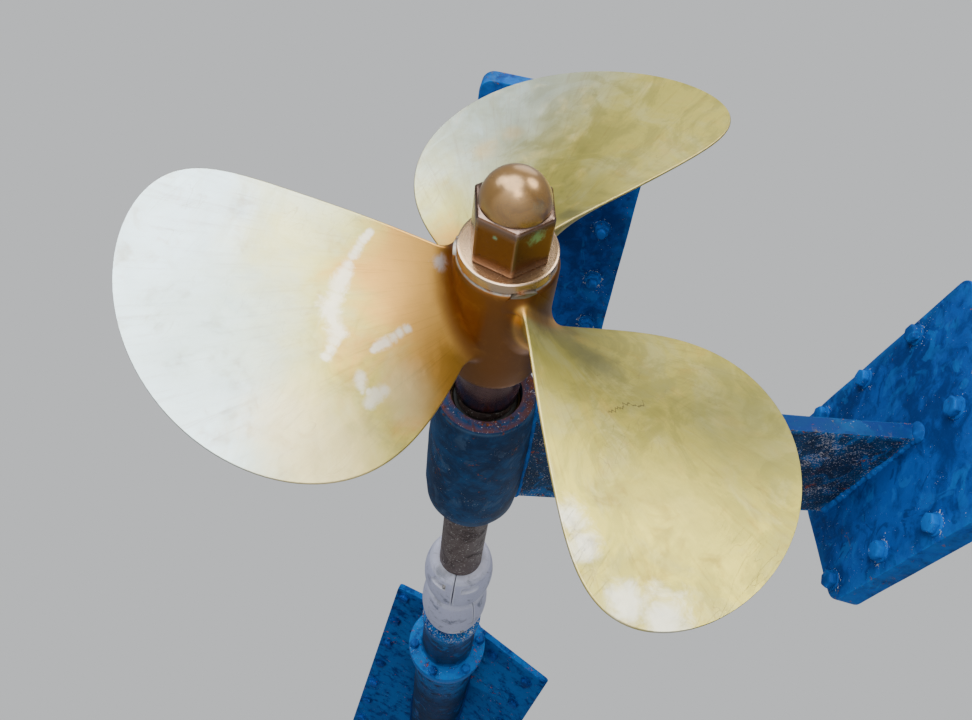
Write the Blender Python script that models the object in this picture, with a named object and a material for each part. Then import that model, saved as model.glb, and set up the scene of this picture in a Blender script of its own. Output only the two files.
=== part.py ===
"""Ship's screw propeller with its tail shaft, V-bracket, stern bearing and shaft log.

Everything is drawn in the shaft's own frame: the shaft runs along Z, +Z is aft, and lengths are
given in propeller radii. SHAFT_TO_WORLD turns that frame into the part's: the port palm lies flat
against the hull at Z = 0, +Y is forward, +X is starboard, and everything hangs below.
"""

import math

import bmesh
import bpy
from mathutils import Matrix, Vector

# Driving dimensions. RADIUS is in metres, every other length is a share of it, angles in degrees.
RADIUS = 0.425
GAP = 0.0003 / RADIUS
HULL_SLOPE = 11.0

BLADES = 3
BLADE_START = -0.3
PITCH = 0.6125 * 2
RAKE = (-0.1040, 0.0560)
OUTLINE_HUB = 0.16
HALF_CHORD = (0.1565, 0.5149, 0.2791, -0.1317)
MID_CHORD = (0.3444, 0.7334, 0.7304, -0.8798)
ROOT_THICKNESS = 0.072
TIP_THICKNESS = 0.0095
EDGE_THICKNESS = 0.0085
ROOT_FILLET, END_FLARE = 0.050, 0.90
BLADE_RINGS, FILLET_RINGS = 18, 6
CHORD_STEPS = 17

HUB_AFT, HUB_FORWARD = -0.122, -0.555
HUB_RADIUS, HUB_CROWN = 0.138, 0.0004
HUB_RIM, HUB_NOSE, RIM_DROP = 0.020, 0.030, 0.016
SHAFT_RADIUS = 0.086
SHAFT_END = -3.76
SHAFT_CHAMFER, TAPER_LARGE_DROP = 0.004, 0.002
TAPER_SMALL, TAPER_ROOM = 0.060, 0.004
THREAD_RADIUS, THREAD_END, THREAD_CHAMFER = 0.048, 0.030, 0.006
TAPER_STOP = 0.010
WASHER_RADIUS, WASHER_AFT, WASHER_EDGE = 0.130, -0.088, 0.008
NUT_FLATS, NUT_SHOULDER = 0.0945, 0.070
NUT_DOME = 0.0890
NUT_CHAMFER, NUT_CROWN = 0.005, 0.002
NUT_ROOM = 0.012
NUT_TURN = 131.0

BARREL_AFT, BARREL_FORWARD = -0.760, -1.450
BARREL_RADIUS, BARREL_BORE = 0.166, 0.112
BARREL_LIP, BARREL_STEP = 0.014, 0.007
BEARING_RECESS = 0.030
SHELL_INNER = 0.100
SLEEVE_RADIUS, SLEEVE_CLEARANCE = 0.098, 0.014
SLEEVE_CHAMFER, SLEEVE_SWELL = 0.007, 0.002
ANODE_RADIUS, ANODE_LIP = 0.143, 0.104
ANODE_SWELL = (0.06, 0.88, 0.6)
ANODE_AFT = (-2.030, -2.300)
ANODE_FORE = (-2.306, -2.655)
ANODE_CUTS = (118.0, 165.0)
ANODE_SPLIT = 0.0016

PALM_STATION = -0.780
ARM_THICKNESS = 0.056
ARM_ROOT, ARM_FOOT = 0.150, 1.385
ARM_AFT = (-0.820, -0.822)
ARM_FORWARD = (-1.400, -1.360)
ARM_ROUNDING = 0.014
PALM_THICKNESS, PALM_EASE = 0.078, 0.006
STARBOARD_ARM, STARBOARD_FACE, STARBOARD_REACH = -143.0, -150.0, 1.375
PORT_ARM, PORT_FACE, PORT_REACH = -64.0, -62.0, 1.300
PALM_ENDS_STARBOARD, PALM_SIDES_STARBOARD = (-0.29, 0.70), (-0.23, 0.57)
PALM_CLIP_STARBOARD = (0.13, 0.42)
PALM_ENDS_PORT, PALM_SIDES_PORT = (-0.09, 1.14), (-0.41, 0.28)
PALM_CORNER = 0.05

HOUSING_AFT, HOUSING_FORWARD = -2.690, -3.165
HOUSING_RADIUS = 0.126
RING_RADIUS, RING_LENGTH = 0.136, 0.045
STERN_BORE = 0.103
BUSH_RECESS = 0.006
RING_EASE, HOUSING_FILLET = 0.006, 0.010
FLANGE_RADIUS, FLANGE_THICKNESS, FLANGE_EASE = 0.190, 0.042, 0.004
TUBE_RADIUS, TUBE_WALL = 0.150, 0.022
TUBE_FORWARD = -5.35
LOG_FACE, LOG_REACH, LOG_STATION, LOG_HEADING = -79.0, 0.200, -3.15, 4.0
LOG_FOLD = 6.5
LOG_THICKNESS = 0.032
LOG_AFT, LOG_FORWARD = (0.08, 0.12), 2.26
LOG_SIDES = (0.37, 0.54)
LOG_CORNER = 0.02

ROUND = 48
CUT_SPAN = 3.0


class HullFace:
    """A flat plate's plane: its shaft side lies reach from the shaft at a station along it.

    The heading turns the plate on the hull, its forward end to port.
    """

    def __init__(self, face_angle, reach, station, slope=HULL_SLOPE, heading=0.0):
        turn, fall = math.radians(face_angle), math.radians(slope)
        out = Vector((math.cos(turn), math.sin(turn), 0))
        ahead = Vector((0, 0, -1))
        self.point = out * reach + Vector((0, 0, station))
        self.normal = out * math.cos(fall) + ahead * math.sin(fall)
        straight = ahead * math.cos(fall) - out * math.sin(fall)
        side = self.normal.cross(straight)
        yaw = math.radians(heading)
        self.ahead = straight * math.cos(yaw) + side * math.sin(yaw)
        self.across = side * math.cos(yaw) - straight * math.sin(yaw)

    def at(self, ahead, across, height=0.0):
        """The point this far ahead, across and hullwards of the face's own point."""
        return self.point + self.ahead * ahead + self.across * across + self.normal * height

    def matrix(self, ahead, across, height):
        """Axes X = starboard of the plate, Y = ahead, Z = into the hull, at a point of the face."""
        columns = (-self.across, self.ahead, self.normal, self.at(ahead, across, height))
        rows = [[c[i] for c in columns] for i in range(3)]
        return Matrix(rows + [[0, 0, 0, 1]])


STARBOARD = HullFace(STARBOARD_FACE, STARBOARD_REACH, PALM_STATION)
PORT = HullFace(PORT_FACE, PORT_REACH, PALM_STATION)
LOG = HullFace(LOG_FACE, LOG_REACH, LOG_STATION, heading=LOG_HEADING)
WORLD_ORIGIN = (0.20, -0.05)
SHAFT_TO_WORLD = PORT.matrix(*WORLD_ORIGIN, PALM_THICKNESS).inverted()


def clear_scene():
    for obj in list(bpy.data.objects):
        bpy.data.objects.remove(obj, do_unlink=True)


def make_material(name, colour, roughness, metallic):
    mat = bpy.data.materials.new(name)
    mat.use_nodes = True
    shader = mat.node_tree.nodes["Principled BSDF"]
    shader.inputs["Base Color"].default_value = (*colour, 1)
    shader.inputs["Roughness"].default_value = roughness
    shader.inputs["Metallic"].default_value = metallic
    mat.diffuse_color = (*colour, 1)
    return mat


def place(name, bm, finish, smooth=True, angle=35.0):
    """Makes the object: its mesh in the shaft's frame, in metres, turned into the world's."""
    bmesh.ops.scale(bm, vec=Vector((RADIUS, RADIUS, RADIUS)), verts=bm.verts)
    bmesh.ops.recalc_face_normals(bm, faces=bm.faces)
    for edge in bm.edges:
        turn = edge.calc_face_angle(0)
        edge.smooth = turn < math.radians(angle)
    for face in bm.faces:
        face.smooth = smooth
    mesh = bpy.data.meshes.new(name)
    bm.to_mesh(mesh)
    bm.free()
    obj = bpy.data.objects.new(name, mesh)
    bpy.context.collection.objects.link(obj)
    mesh.materials.append(make_material(f"{name}_finish", *finish))
    world = SHAFT_TO_WORLD.copy()
    world.translation = world.translation * RADIUS
    obj.matrix_world = world
    return obj


def boolean(target, cutter, operation="DIFFERENCE"):
    cutter.hide_render = True
    cutter.display_type = "WIRE"
    mod = target.modifiers.new(f"{operation.lower()}_{cutter.name}", "BOOLEAN")
    mod.operation = operation
    mod.solver = "EXACT"
    mod.object = cutter
    return target


def turned(profile, steps=ROUND, start=0.0, sweep=360.0):
    """Turns a closed (z, r) profile about the shaft, all the way round or as a sector with ends."""
    bm = bmesh.new()
    full = sweep >= 360.0
    count = steps if full else steps + 1
    rings = []
    for i in range(count):
        angle = math.radians(start + sweep * i / steps)
        turn = (math.cos(angle), math.sin(angle))
        rings.append([bm.verts.new((r * turn[0], r * turn[1], z)) for z, r in profile])
    size = len(profile)
    for i in range(steps):
        a, b = rings[i], rings[(i + 1) % count]
        for j in range(size):
            k = (j + 1) % size
            if profile[j][1] < 1e-9 and profile[k][1] < 1e-9:
                continue
            bm.faces.new((a[j], a[k], b[k], b[j]))
    if not full:
        bm.faces.new(rings[0])
        bm.faces.new(rings[-1])
    bmesh.ops.remove_doubles(bm, verts=bm.verts, dist=1e-7)
    return bm


def slab(outline, matrix, thickness):
    """A flat plate: an outline of (x, y) points thickened along the matrix's Z."""
    bm = bmesh.new()
    low = [bm.verts.new(matrix @ Vector((x, y, 0))) for x, y in outline]
    high = [bm.verts.new(matrix @ Vector((x, y, thickness))) for x, y in outline]
    bm.faces.new(low)
    bm.faces.new(high)
    for i in range(len(outline)):
        j = (i + 1) % len(outline)
        bm.faces.new((low[i], low[j], high[j], high[i]))
    return bm


def half_space(matrix):
    """A block that stands for everything above a plane, the matrix's XY."""
    far = CUT_SPAN
    return slab([(-far, -far), (far, -far), (far, far), (-far, far)], matrix, far)


def rounded_outline(corners, radius, steps=5):
    """The outline with each of its corners rounded to the radius."""
    points = []
    for i, corner in enumerate(corners):
        here = Vector(corner)
        before = (Vector(corners[i - 1]) - here).normalized()
        after = (Vector(corners[(i + 1) % len(corners)]) - here).normalized()
        half = before.angle(after) / 2
        centre = here + (before + after).normalized() * radius / math.sin(half)
        first = here + before * radius / math.tan(half) - centre
        last = here + after * radius / math.tan(half) - centre
        sweep = first.angle(last) * (1 if first.x * last.y > first.y * last.x else -1)
        for k in range(steps + 1):
            turn = sweep * k / steps
            points.append((
                centre.x + first.x * math.cos(turn) - first.y * math.sin(turn),
                centre.y + first.x * math.sin(turn) + first.y * math.cos(turn),
            ))
    return points


def polynomial(coefficients, x):
    return sum(c * x**i for i, c in enumerate(coefficients))


def blade_point(r, s, lift, blade):
    """A point of a blade's section, wrapped on the cylinder of radius r.

    It lies the arc s ahead of the blade's line and lift forward of the driving face.
    """
    slope = math.atan2(PITCH / (2 * math.pi), r)
    turn = (s * math.cos(slope) - lift * math.sin(slope)) / r
    angle = BLADE_START + blade * 2 * math.pi / BLADES + turn
    rake = RAKE[0] * r + RAKE[1] * r * r
    along = rake - s * math.sin(slope) - lift * math.cos(slope)
    return Vector((r * math.cos(angle), r * math.sin(angle), along))


def section(u, blade):
    """The closed loop of a blade section: driving face, leading edge, back, trailing edge."""
    rho = math.sin(u)
    r = OUTLINE_HUB + (1 - OUTLINE_HUB) * rho
    half = math.cos(u) * polynomial(HALF_CHORD, rho)
    middle = polynomial(MID_CHORD, rho)
    share = (1 - r) / (1 - OUTLINE_HUB)
    depth = TIP_THICKNESS + (ROOT_THICKNESS - TIP_THICKNESS) * share**1.25
    near = min(1.0, max(0.0, 1 - (r - HUB_RADIUS) / ROOT_FILLET))
    fillet = ROOT_FILLET * (1 - math.sqrt(1 - near**2))
    edge = min(EDGE_THICKNESS, depth)
    reach = half + edge * 0.5 + fillet * END_FLARE
    loop = []
    for i in range(CHORD_STEPS):
        x = -math.cos(math.pi * i / (CHORD_STEPS - 1))
        loop.append(blade_point(r, middle + half * x, -fillet, blade))
    loop.append(blade_point(r, middle + reach, edge * 0.5, blade))
    for i in range(CHORD_STEPS):
        x = math.cos(math.pi * i / (CHORD_STEPS - 1))
        bulge = max(0.0, 1 - x * x) ** 0.8
        lift = edge + (depth - edge) * bulge + fillet
        loop.append(blade_point(r, middle + half * x, lift, blade))
    loop.append(blade_point(r, middle - reach, edge * 0.5, blade))
    return loop


def ring_angles():
    """The sections' places: one inside the hub, the fillet's own round, then on out to the tip."""
    radii = [HUB_RADIUS - ROOT_FILLET * 0.5]
    for i in range(FILLET_RINGS + 1):
        turn = math.pi / 2 * i / FILLET_RINGS
        radii.append(HUB_RADIUS + ROOT_FILLET * (1 - math.cos(turn)))
    angles = [math.asin((r - OUTLINE_HUB) / (1 - OUTLINE_HUB)) for r in radii]
    root = angles[-1]
    span = math.pi / 2 - 0.012 - root
    return angles + [root + span * i / BLADE_RINGS for i in range(1, BLADE_RINGS + 1)]


def blade_mesh(blade):
    bm = bmesh.new()
    rings = [[bm.verts.new(p) for p in section(u, blade)] for u in ring_angles()]
    size = len(rings[0])
    for low, high in zip(rings, rings[1:]):
        for j in range(size):
            k = (j + 1) % size
            bm.faces.new((low[j], low[k], high[k], high[j]))
    for ring in (rings[0], rings[-1]):
        flat = CHORD_STEPS
        bm.faces.new((ring[flat - 1], ring[flat], ring[flat + 1]))
        bm.faces.new((ring[0], ring[-1], ring[-2]))
        for j in range(flat - 1):
            bm.faces.new((ring[j], ring[j + 1], ring[2 * flat - 1 - j], ring[2 * flat - j]))
    return bm


def build_propeller(bronze):
    """The casting: a hub bored to the shaft's taper, with its three blades."""
    profile = [
        (HUB_AFT, TAPER_SMALL + TAPER_ROOM), (HUB_AFT, HUB_RADIUS - RIM_DROP),
        (HUB_AFT - HUB_RIM * 0.3, HUB_RADIUS - RIM_DROP * 0.375), (HUB_AFT - HUB_RIM, HUB_RADIUS),
        ((HUB_AFT + HUB_FORWARD) / 2, HUB_RADIUS + HUB_CROWN), (HUB_FORWARD + HUB_NOSE, HUB_RADIUS),
        (HUB_FORWARD + HUB_NOSE / 3, HUB_RADIUS - RIM_DROP * 0.3125),
        (HUB_FORWARD, HUB_RADIUS - RIM_DROP), (HUB_FORWARD, SHAFT_RADIUS - TAPER_LARGE_DROP + GAP),
    ]
    propeller = place("propeller", turned(profile, 60), bronze)
    for blade in range(BLADES):
        part = place(f"blade_shape_{blade}", blade_mesh(blade), bronze)
        boolean(propeller, part, "UNION")
    return propeller


def build_nut(bronze):
    """A domed hex nut with a blind threaded bore."""
    corner = NUT_FLATS / math.cos(math.pi / 6)
    low = WASHER_AFT + GAP
    profile = [(low, THREAD_RADIUS + GAP), (low, corner - NUT_CHAMFER), (low + NUT_CHAMFER * 0.8, corner)]
    profile += [(NUT_SHOULDER - NUT_CHAMFER, corner), (NUT_SHOULDER, NUT_DOME + NUT_CROWN)]
    for i in range(11):
        angle = math.radians(90 * i / 10)
        profile.append((NUT_SHOULDER + NUT_DOME * math.sin(angle), NUT_DOME * math.cos(angle)))
    profile += [(THREAD_END + NUT_ROOM, 0.0), (THREAD_END + NUT_ROOM, THREAD_RADIUS + GAP)]
    nut = place("propeller_nut", turned(profile, ROUND), bronze)
    hexagon = [
        (corner * math.cos(math.radians(NUT_TURN + 60 * i)),
         corner * math.sin(math.radians(NUT_TURN + 60 * i)))
        for i in range(6)
    ]
    prism = slab(hexagon, Matrix.Translation((0, 0, -CUT_SPAN / 2)), CUT_SPAN)
    boolean(nut, place("nut_hexagon", prism, bronze, smooth=False), "INTERSECT")
    return nut


def build_washer(bronze):
    low, high, inner = HUB_AFT + GAP, WASHER_AFT, THREAD_RADIUS + TAPER_ROOM
    profile = [
        (low, inner), (low, WASHER_RADIUS - WASHER_EDGE / 2), (low + WASHER_EDGE * 0.75, WASHER_RADIUS),
        (high - WASHER_EDGE, WASHER_RADIUS), (high, WASHER_RADIUS - WASHER_EDGE * 1.125), (high, inner),
    ]
    return place("nut_washer", turned(profile), bronze)


def build_shaft(steel):
    """The tail shaft: plain, then the propeller's taper, then the nut's thread."""
    profile = [
        (SHAFT_END, 0.0), (SHAFT_END, SHAFT_RADIUS - SHAFT_CHAMFER),
        (SHAFT_END + SHAFT_CHAMFER, SHAFT_RADIUS), (HUB_FORWARD - SHAFT_CHAMFER, SHAFT_RADIUS),
        (HUB_FORWARD, SHAFT_RADIUS - TAPER_LARGE_DROP), (HUB_AFT - TAPER_STOP, TAPER_SMALL),
        (HUB_AFT - TAPER_STOP, THREAD_RADIUS), (THREAD_END - THREAD_CHAMFER, THREAD_RADIUS),
        (THREAD_END, THREAD_RADIUS - THREAD_CHAMFER), (THREAD_END, 0.0),
    ]
    return place("tail_shaft", turned(profile), steel)


def build_sleeve(bronze):
    low, high = BARREL_AFT + SLEEVE_CLEARANCE, HUB_FORWARD - GAP
    inner = SHAFT_RADIUS + GAP
    ease = SLEEVE_CHAMFER
    profile = [
        (low, inner), (low, SLEEVE_RADIUS - ease), (low + ease * 0.6, SLEEVE_RADIUS - ease * 0.3),
        (low + ease * 1.7, SLEEVE_RADIUS), (high, SLEEVE_RADIUS + SLEEVE_SWELL), (high, inner),
    ]
    return place("shaft_sleeve", turned(profile), bronze)


def build_anode(name, span, cut, zinc):
    """A clamped shaft anode: two egg-shaped halves with a narrow split between them."""
    aft, fore = span
    length = aft - fore
    steps = 9
    profile = [(fore, SHAFT_RADIUS + GAP)]
    for i in range(steps + 1):
        share = i / steps
        swell = math.sin(math.pi * (ANODE_SWELL[0] + ANODE_SWELL[1] * share)) ** ANODE_SWELL[2]
        radius = ANODE_LIP + (ANODE_RADIUS - ANODE_LIP) * swell
        profile.append((fore + length * share, radius))
    profile.append((aft, SHAFT_RADIUS + GAP))
    halves = []
    slack = math.degrees(ANODE_SPLIT / SHAFT_RADIUS)
    for side, start in (("near", cut), ("far", cut + 180)):
        bm = turned(profile, 24, start + slack, 180 - 2 * slack)
        halves.append(place(f"{name}_{side}_half", bm, zinc))
    return halves


def barrel_outside(extra=0.0):
    """The barrel's outer profile from its aft face to its forward one, grown by extra."""
    length = BARREL_AFT - BARREL_FORWARD
    wall, mouth = BARREL_RADIUS - BARREL_BORE, BARREL_BORE + BARREL_LIP
    aft_ring = BARREL_RADIUS - BARREL_STEP
    shape = (
        (0.0, aft_ring - wall / 6), (0.012, aft_ring - wall / 27), (0.06, aft_ring),
        (0.42, BARREL_RADIUS), (0.79, BARREL_RADIUS), (0.93, BARREL_RADIUS - wall * 0.15),
        (0.98, (BARREL_RADIUS + mouth) / 2 - BARREL_STEP * 0.3), (1.0, mouth),
    )
    return [(BARREL_AFT - length * share, radius + extra) for share, radius in shape]


def build_barrel(paint):
    outside = barrel_outside()
    profile = [(BARREL_AFT, BARREL_BORE), *outside, (BARREL_FORWARD, BARREL_BORE)]
    return place("strut_barrel", turned(profile), paint)


def build_bearing(name, low, high, outer, inner, finish):
    profile = [(low, inner), (low, outer), (high, outer), (high, inner)]
    return place(name, turned(profile), finish)


def build_palm(name, face, ends, sides, paint, clip=(0.0, 0.0)):
    """A bolting plate on the hull at one end of the V-bracket. A clip takes off a corner."""
    low, high = -sides[1], -sides[0]
    corners = [(low, ends[0]), (high, ends[0])]
    if clip[0] > 0:
        corners += [(high, ends[1] - clip[0]), (high - clip[1], ends[1])]
    else:
        corners += [(high, ends[1])]
    corners.append((low, ends[1]))
    outline = rounded_outline(corners, PALM_CORNER)
    bm = slab(outline, face.matrix(0, 0, 0), PALM_THICKNESS)
    rims = [e for e in bm.edges if e.calc_face_angle(0) > math.radians(60)]
    bmesh.ops.bevel(bm, geom=rims, offset=PALM_EASE, segments=2, profile=0.5, affect="EDGES", material=-1)
    return place(name, bm, paint, angle=40)


def build_arm(name, angle, face, paint):
    """A flat arm from the barrel to a palm, cut to the barrel's round and the palm's slope."""
    turn = math.radians(angle)
    out = Vector((math.cos(turn), math.sin(turn), 0))
    side = Vector((-out.y, out.x, 0))
    half = ARM_THICKNESS / 2
    matrix = Matrix([
        [out.x, 0, side.x, -half * side.x], [out.y, 0, side.y, -half * side.y],
        [0, 1, 0, 0], [0, 0, 0, 1],
    ])

    def edge(stations, r):
        share = (r - ARM_ROOT) / (ARM_FOOT - ARM_ROOT)
        return r, stations[0] + (stations[1] - stations[0]) * share

    inner, outer = ARM_ROOT / 2, ARM_FOOT * 1.25
    outline = [
        edge(ARM_FORWARD, inner), edge(ARM_FORWARD, outer), edge(ARM_AFT, outer), edge(ARM_AFT, inner)
    ]
    bm = slab(outline, matrix, ARM_THICKNESS)
    long_edges = [
        e for e in bm.edges
        if abs((e.verts[1].co - e.verts[0].co).normalized().dot(out)) > 0.99
    ]
    bmesh.ops.bevel(
        bm, geom=long_edges, offset=ARM_ROUNDING, segments=3, profile=0.5, affect="EDGES",
        material=-1,
    )
    arm = place(name, bm, paint, angle=40)
    boolean(arm, place(f"{name}_hull_cut", half_space(face.matrix(0, 0, -GAP)), paint))
    outside = barrel_outside(2 * GAP)
    beyond = ARM_ROOT
    core = [
        (BARREL_AFT + beyond, 0.0), (BARREL_AFT + beyond, outside[0][1]), *outside,
        (BARREL_FORWARD - beyond, outside[-1][1]), (BARREL_FORWARD - beyond, 0.0),
    ]
    boolean(arm, place(f"{name}_barrel_cut", turned(core), paint))
    return arm


def build_housing(paint):
    """The stern bearing's housing: a collar at its aft end and a bolting flange at the other."""
    aft, fore = HOUSING_AFT, HOUSING_FORWARD
    flange = fore + FLANGE_THICKNESS
    profile = [
        (aft, STERN_BORE), (aft, RING_RADIUS - RING_EASE), (aft - RING_EASE, RING_RADIUS),
        (aft - RING_LENGTH, RING_RADIUS), (aft - RING_LENGTH - RING_EASE, HOUSING_RADIUS),
        (flange + HOUSING_FILLET, HOUSING_RADIUS), (flange, HOUSING_RADIUS + HOUSING_FILLET),
        (flange, FLANGE_RADIUS - FLANGE_EASE), (flange - FLANGE_EASE, FLANGE_RADIUS),
        (fore, FLANGE_RADIUS), (fore, STERN_BORE),
    ]
    return place("stern_bearing_housing", turned(profile), paint)


def build_tube_flange(paint):
    aft = HOUSING_FORWARD - GAP
    fore = aft - FLANGE_THICKNESS
    rim = FLANGE_RADIUS - FLANGE_EASE
    profile = [
        (aft, STERN_BORE), (aft, rim), (fore + FLANGE_EASE, rim), (fore, rim - FLANGE_EASE),
        (fore, STERN_BORE),
    ]
    return place("stern_tube_flange", turned(profile), paint)


def log_half(side, height):
    """Axes of one half of the folded log plate, with Z its normal: side is -1 port, 1 starboard."""
    turn = Matrix.Rotation(side * math.radians(LOG_FOLD), 4, "Y")
    return LOG.matrix(0, 0, 0) @ turn @ Matrix.Translation((0, 0, height))


def build_tube(paint):
    """The stern tube, cut off level with the log plate's hull side."""
    aft = HOUSING_FORWARD - FLANGE_THICKNESS - 2 * GAP
    inner = TUBE_RADIUS - TUBE_WALL
    profile = [(TUBE_FORWARD, inner), (TUBE_FORWARD, TUBE_RADIUS), (aft, TUBE_RADIUS), (aft, inner)]
    tube = place("stern_tube", turned(profile), paint)
    for name, side in (("port", -1), ("starboard", 1)):
        cut = half_space(log_half(side, LOG_THICKNESS))
        boolean(tube, place(f"tube_{name}_cut", cut, paint))
    return tube


def build_log_plate(paint):
    """The shaft log's base plate, folded along the ship, with a slanting hole for the tube."""
    halves = (log_half(-1, 0), log_half(1, 0))
    ridge = LOG_THICKNESS / math.cos(math.radians(LOG_FOLD))
    middle = LOG.matrix(0, 0, 0)
    bm = bmesh.new()
    rows = []
    for end in (LOG_AFT, (LOG_FORWARD, LOG_FORWARD)):
        port, starboard = -LOG_SIDES[0], LOG_SIDES[1]
        share = LOG_SIDES[0] / sum(LOG_SIDES)
        crest = end[0] + (end[1] - end[0]) * share
        low = [halves[0] @ Vector((port, end[0], 0)), middle @ Vector((0, crest, 0)),
               halves[1] @ Vector((starboard, end[1], 0))]
        high = [halves[0] @ Vector((port, end[0], LOG_THICKNESS)), middle @ Vector((0, crest, ridge)),
                halves[1] @ Vector((starboard, end[1], LOG_THICKNESS))]
        rows.append([bm.verts.new(p) for p in low + high[::-1]])
    aft, fore = rows
    for ring in rows:
        bm.faces.new((ring[0], ring[1], ring[4], ring[5]))
        bm.faces.new((ring[1], ring[2], ring[3], ring[4]))
    for i in range(6):
        k = (i + 1) % 6
        bm.faces.new((aft[i], aft[k], fore[k], fore[i]))
    corners = [bm.edges.get((ring[a], ring[b])) for ring in rows for a, b in ((0, 5), (2, 3))]
    bmesh.ops.bevel(
        bm, geom=corners, offset=LOG_CORNER, segments=3, profile=0.5, affect="EDGES", material=-1
    )
    plate = place("shaft_log_plate", bm, paint, angle=5)
    radius = TUBE_RADIUS + GAP
    hole = [(TUBE_FORWARD - 1, 0.0), (TUBE_FORWARD - 1, radius), (LOG_STATION, radius), (LOG_STATION, 0.0)]
    return boolean(plate, place("log_plate_hole", turned(hole), paint))


def main():
    clear_scene()
    polished = ((0.86, 0.72, 0.42), 0.30, 1.0)
    bronze = ((0.46, 0.22, 0.09), 0.35, 1.0)
    steel = ((0.30, 0.26, 0.23), 0.45, 1.0)
    zinc = ((0.62, 0.62, 0.63), 0.80, 0.0)
    blue = ((0.02, 0.13, 0.36), 0.55, 0.0)
    brass = ((0.62, 0.47, 0.22), 0.40, 1.0)
    rubber = ((0.03, 0.03, 0.03), 0.80, 0.0)

    build_propeller(polished)
    build_nut(bronze)
    build_washer(bronze)
    build_shaft(steel)
    build_sleeve(bronze)
    build_anode("aft_anode", ANODE_AFT, ANODE_CUTS[0], zinc)
    build_anode("forward_anode", ANODE_FORE, ANODE_CUTS[1], zinc)

    build_barrel(blue)
    running = SHAFT_RADIUS + 2 * GAP
    aft, fore = BARREL_AFT - BEARING_RECESS, BARREL_FORWARD + BEARING_RECESS
    build_bearing("strut_bearing_shell", fore, aft, BARREL_BORE - GAP, SHELL_INNER, brass)
    build_bearing("strut_bearing_rubber", fore, aft, SHELL_INNER - GAP, running, rubber)
    build_palm(
        "starboard_palm", STARBOARD, PALM_ENDS_STARBOARD, PALM_SIDES_STARBOARD, blue,
        PALM_CLIP_STARBOARD,
    )
    build_palm("port_palm", PORT, PALM_ENDS_PORT, PALM_SIDES_PORT, blue)
    build_arm("starboard_arm", STARBOARD_ARM, STARBOARD, blue)
    build_arm("port_arm", PORT_ARM, PORT, blue)

    build_housing(blue)
    fore, aft = HOUSING_FORWARD + BUSH_RECESS, HOUSING_AFT - BUSH_RECESS
    build_bearing("stern_bearing_bush", fore, aft, STERN_BORE - GAP, running, brass)
    build_tube_flange(blue)
    build_tube(blue)
    build_log_plate(blue)


if __name__ == "__main__":
    main()
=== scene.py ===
"""The looks of a ship's screw propeller, its tail shaft, its V-bracket, stern bearing and shaft log.

Every piece is drawn in the shaft's own frame, where the shaft runs along Z with +Z aft, and in shares
of the propeller's radius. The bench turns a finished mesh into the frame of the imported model.
"""

import logging
import math
from collections.abc import Callable, Iterable, Sequence
from dataclasses import dataclass, replace
from enum import Enum
from typing import TypeAlias

import bmesh
import bpy
from bmesh.types import BMesh, BMEdge, BMFace, BMVert
from mathutils import Matrix, Vector, noise


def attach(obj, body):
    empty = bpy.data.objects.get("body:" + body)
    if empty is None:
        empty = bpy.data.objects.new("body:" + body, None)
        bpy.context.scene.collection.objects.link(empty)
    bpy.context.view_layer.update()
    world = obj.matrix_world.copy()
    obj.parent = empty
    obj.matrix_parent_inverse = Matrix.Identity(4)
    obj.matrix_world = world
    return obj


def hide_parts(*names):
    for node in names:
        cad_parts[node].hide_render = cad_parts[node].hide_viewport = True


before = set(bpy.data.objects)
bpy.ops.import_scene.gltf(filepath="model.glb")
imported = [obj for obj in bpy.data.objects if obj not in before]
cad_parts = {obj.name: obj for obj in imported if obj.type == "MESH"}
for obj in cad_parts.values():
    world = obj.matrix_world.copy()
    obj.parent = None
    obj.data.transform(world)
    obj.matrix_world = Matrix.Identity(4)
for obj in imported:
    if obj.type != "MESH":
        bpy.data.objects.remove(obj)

LOG = logging.getLogger("ship_propeller")
PROPELLER_RADIUS = 0.425
GAP = 0.0003 / PROPELLER_RADIUS
SHAFT = 0.086
RUNNING_BORE = SHAFT + 2 * GAP
PALM_THICKNESS = 0.078

Colour: TypeAlias = tuple[float, float, float]
Point: TypeAlias = tuple[float, float, float]
Spot: TypeAlias = tuple[float, float, float, float]
Profile: TypeAlias = Sequence[tuple[float, float]]
Path3: TypeAlias = list[tuple[Vector, Vector, Vector]]
Value: TypeAlias = "Wire | float | tuple[float, ...]"


class Body(Enum):
    """The two bodies that pieces ride on."""

    HULL = "hull_fittings"
    SHAFT = "shaft_line"


def axial(z: float) -> Vector:
    """Returns the point of the shaft's axis at a station."""
    return Vector((0, 0, z))


def radial(turn: float) -> Vector:
    """Returns the direction out from the shaft at an angle."""
    return Vector((math.cos(turn), math.sin(turn), 0))


def sideways(turn: float) -> Vector:
    """Returns the direction on round the shaft at an angle."""
    return Vector((-math.sin(turn), math.cos(turn), 0))


def framed(x: Vector, y: Vector, z: Vector, origin: Vector) -> Matrix:
    """Returns the matrix with these axes and this origin."""
    return Matrix([[x[i], y[i], z[i], origin[i]] for i in range(3)] + [[0, 0, 0, 1]])


def normal_of(matrix: Matrix) -> Vector:
    """Returns a matrix's Z axis."""
    return matrix.to_3x3().col[2]


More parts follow.
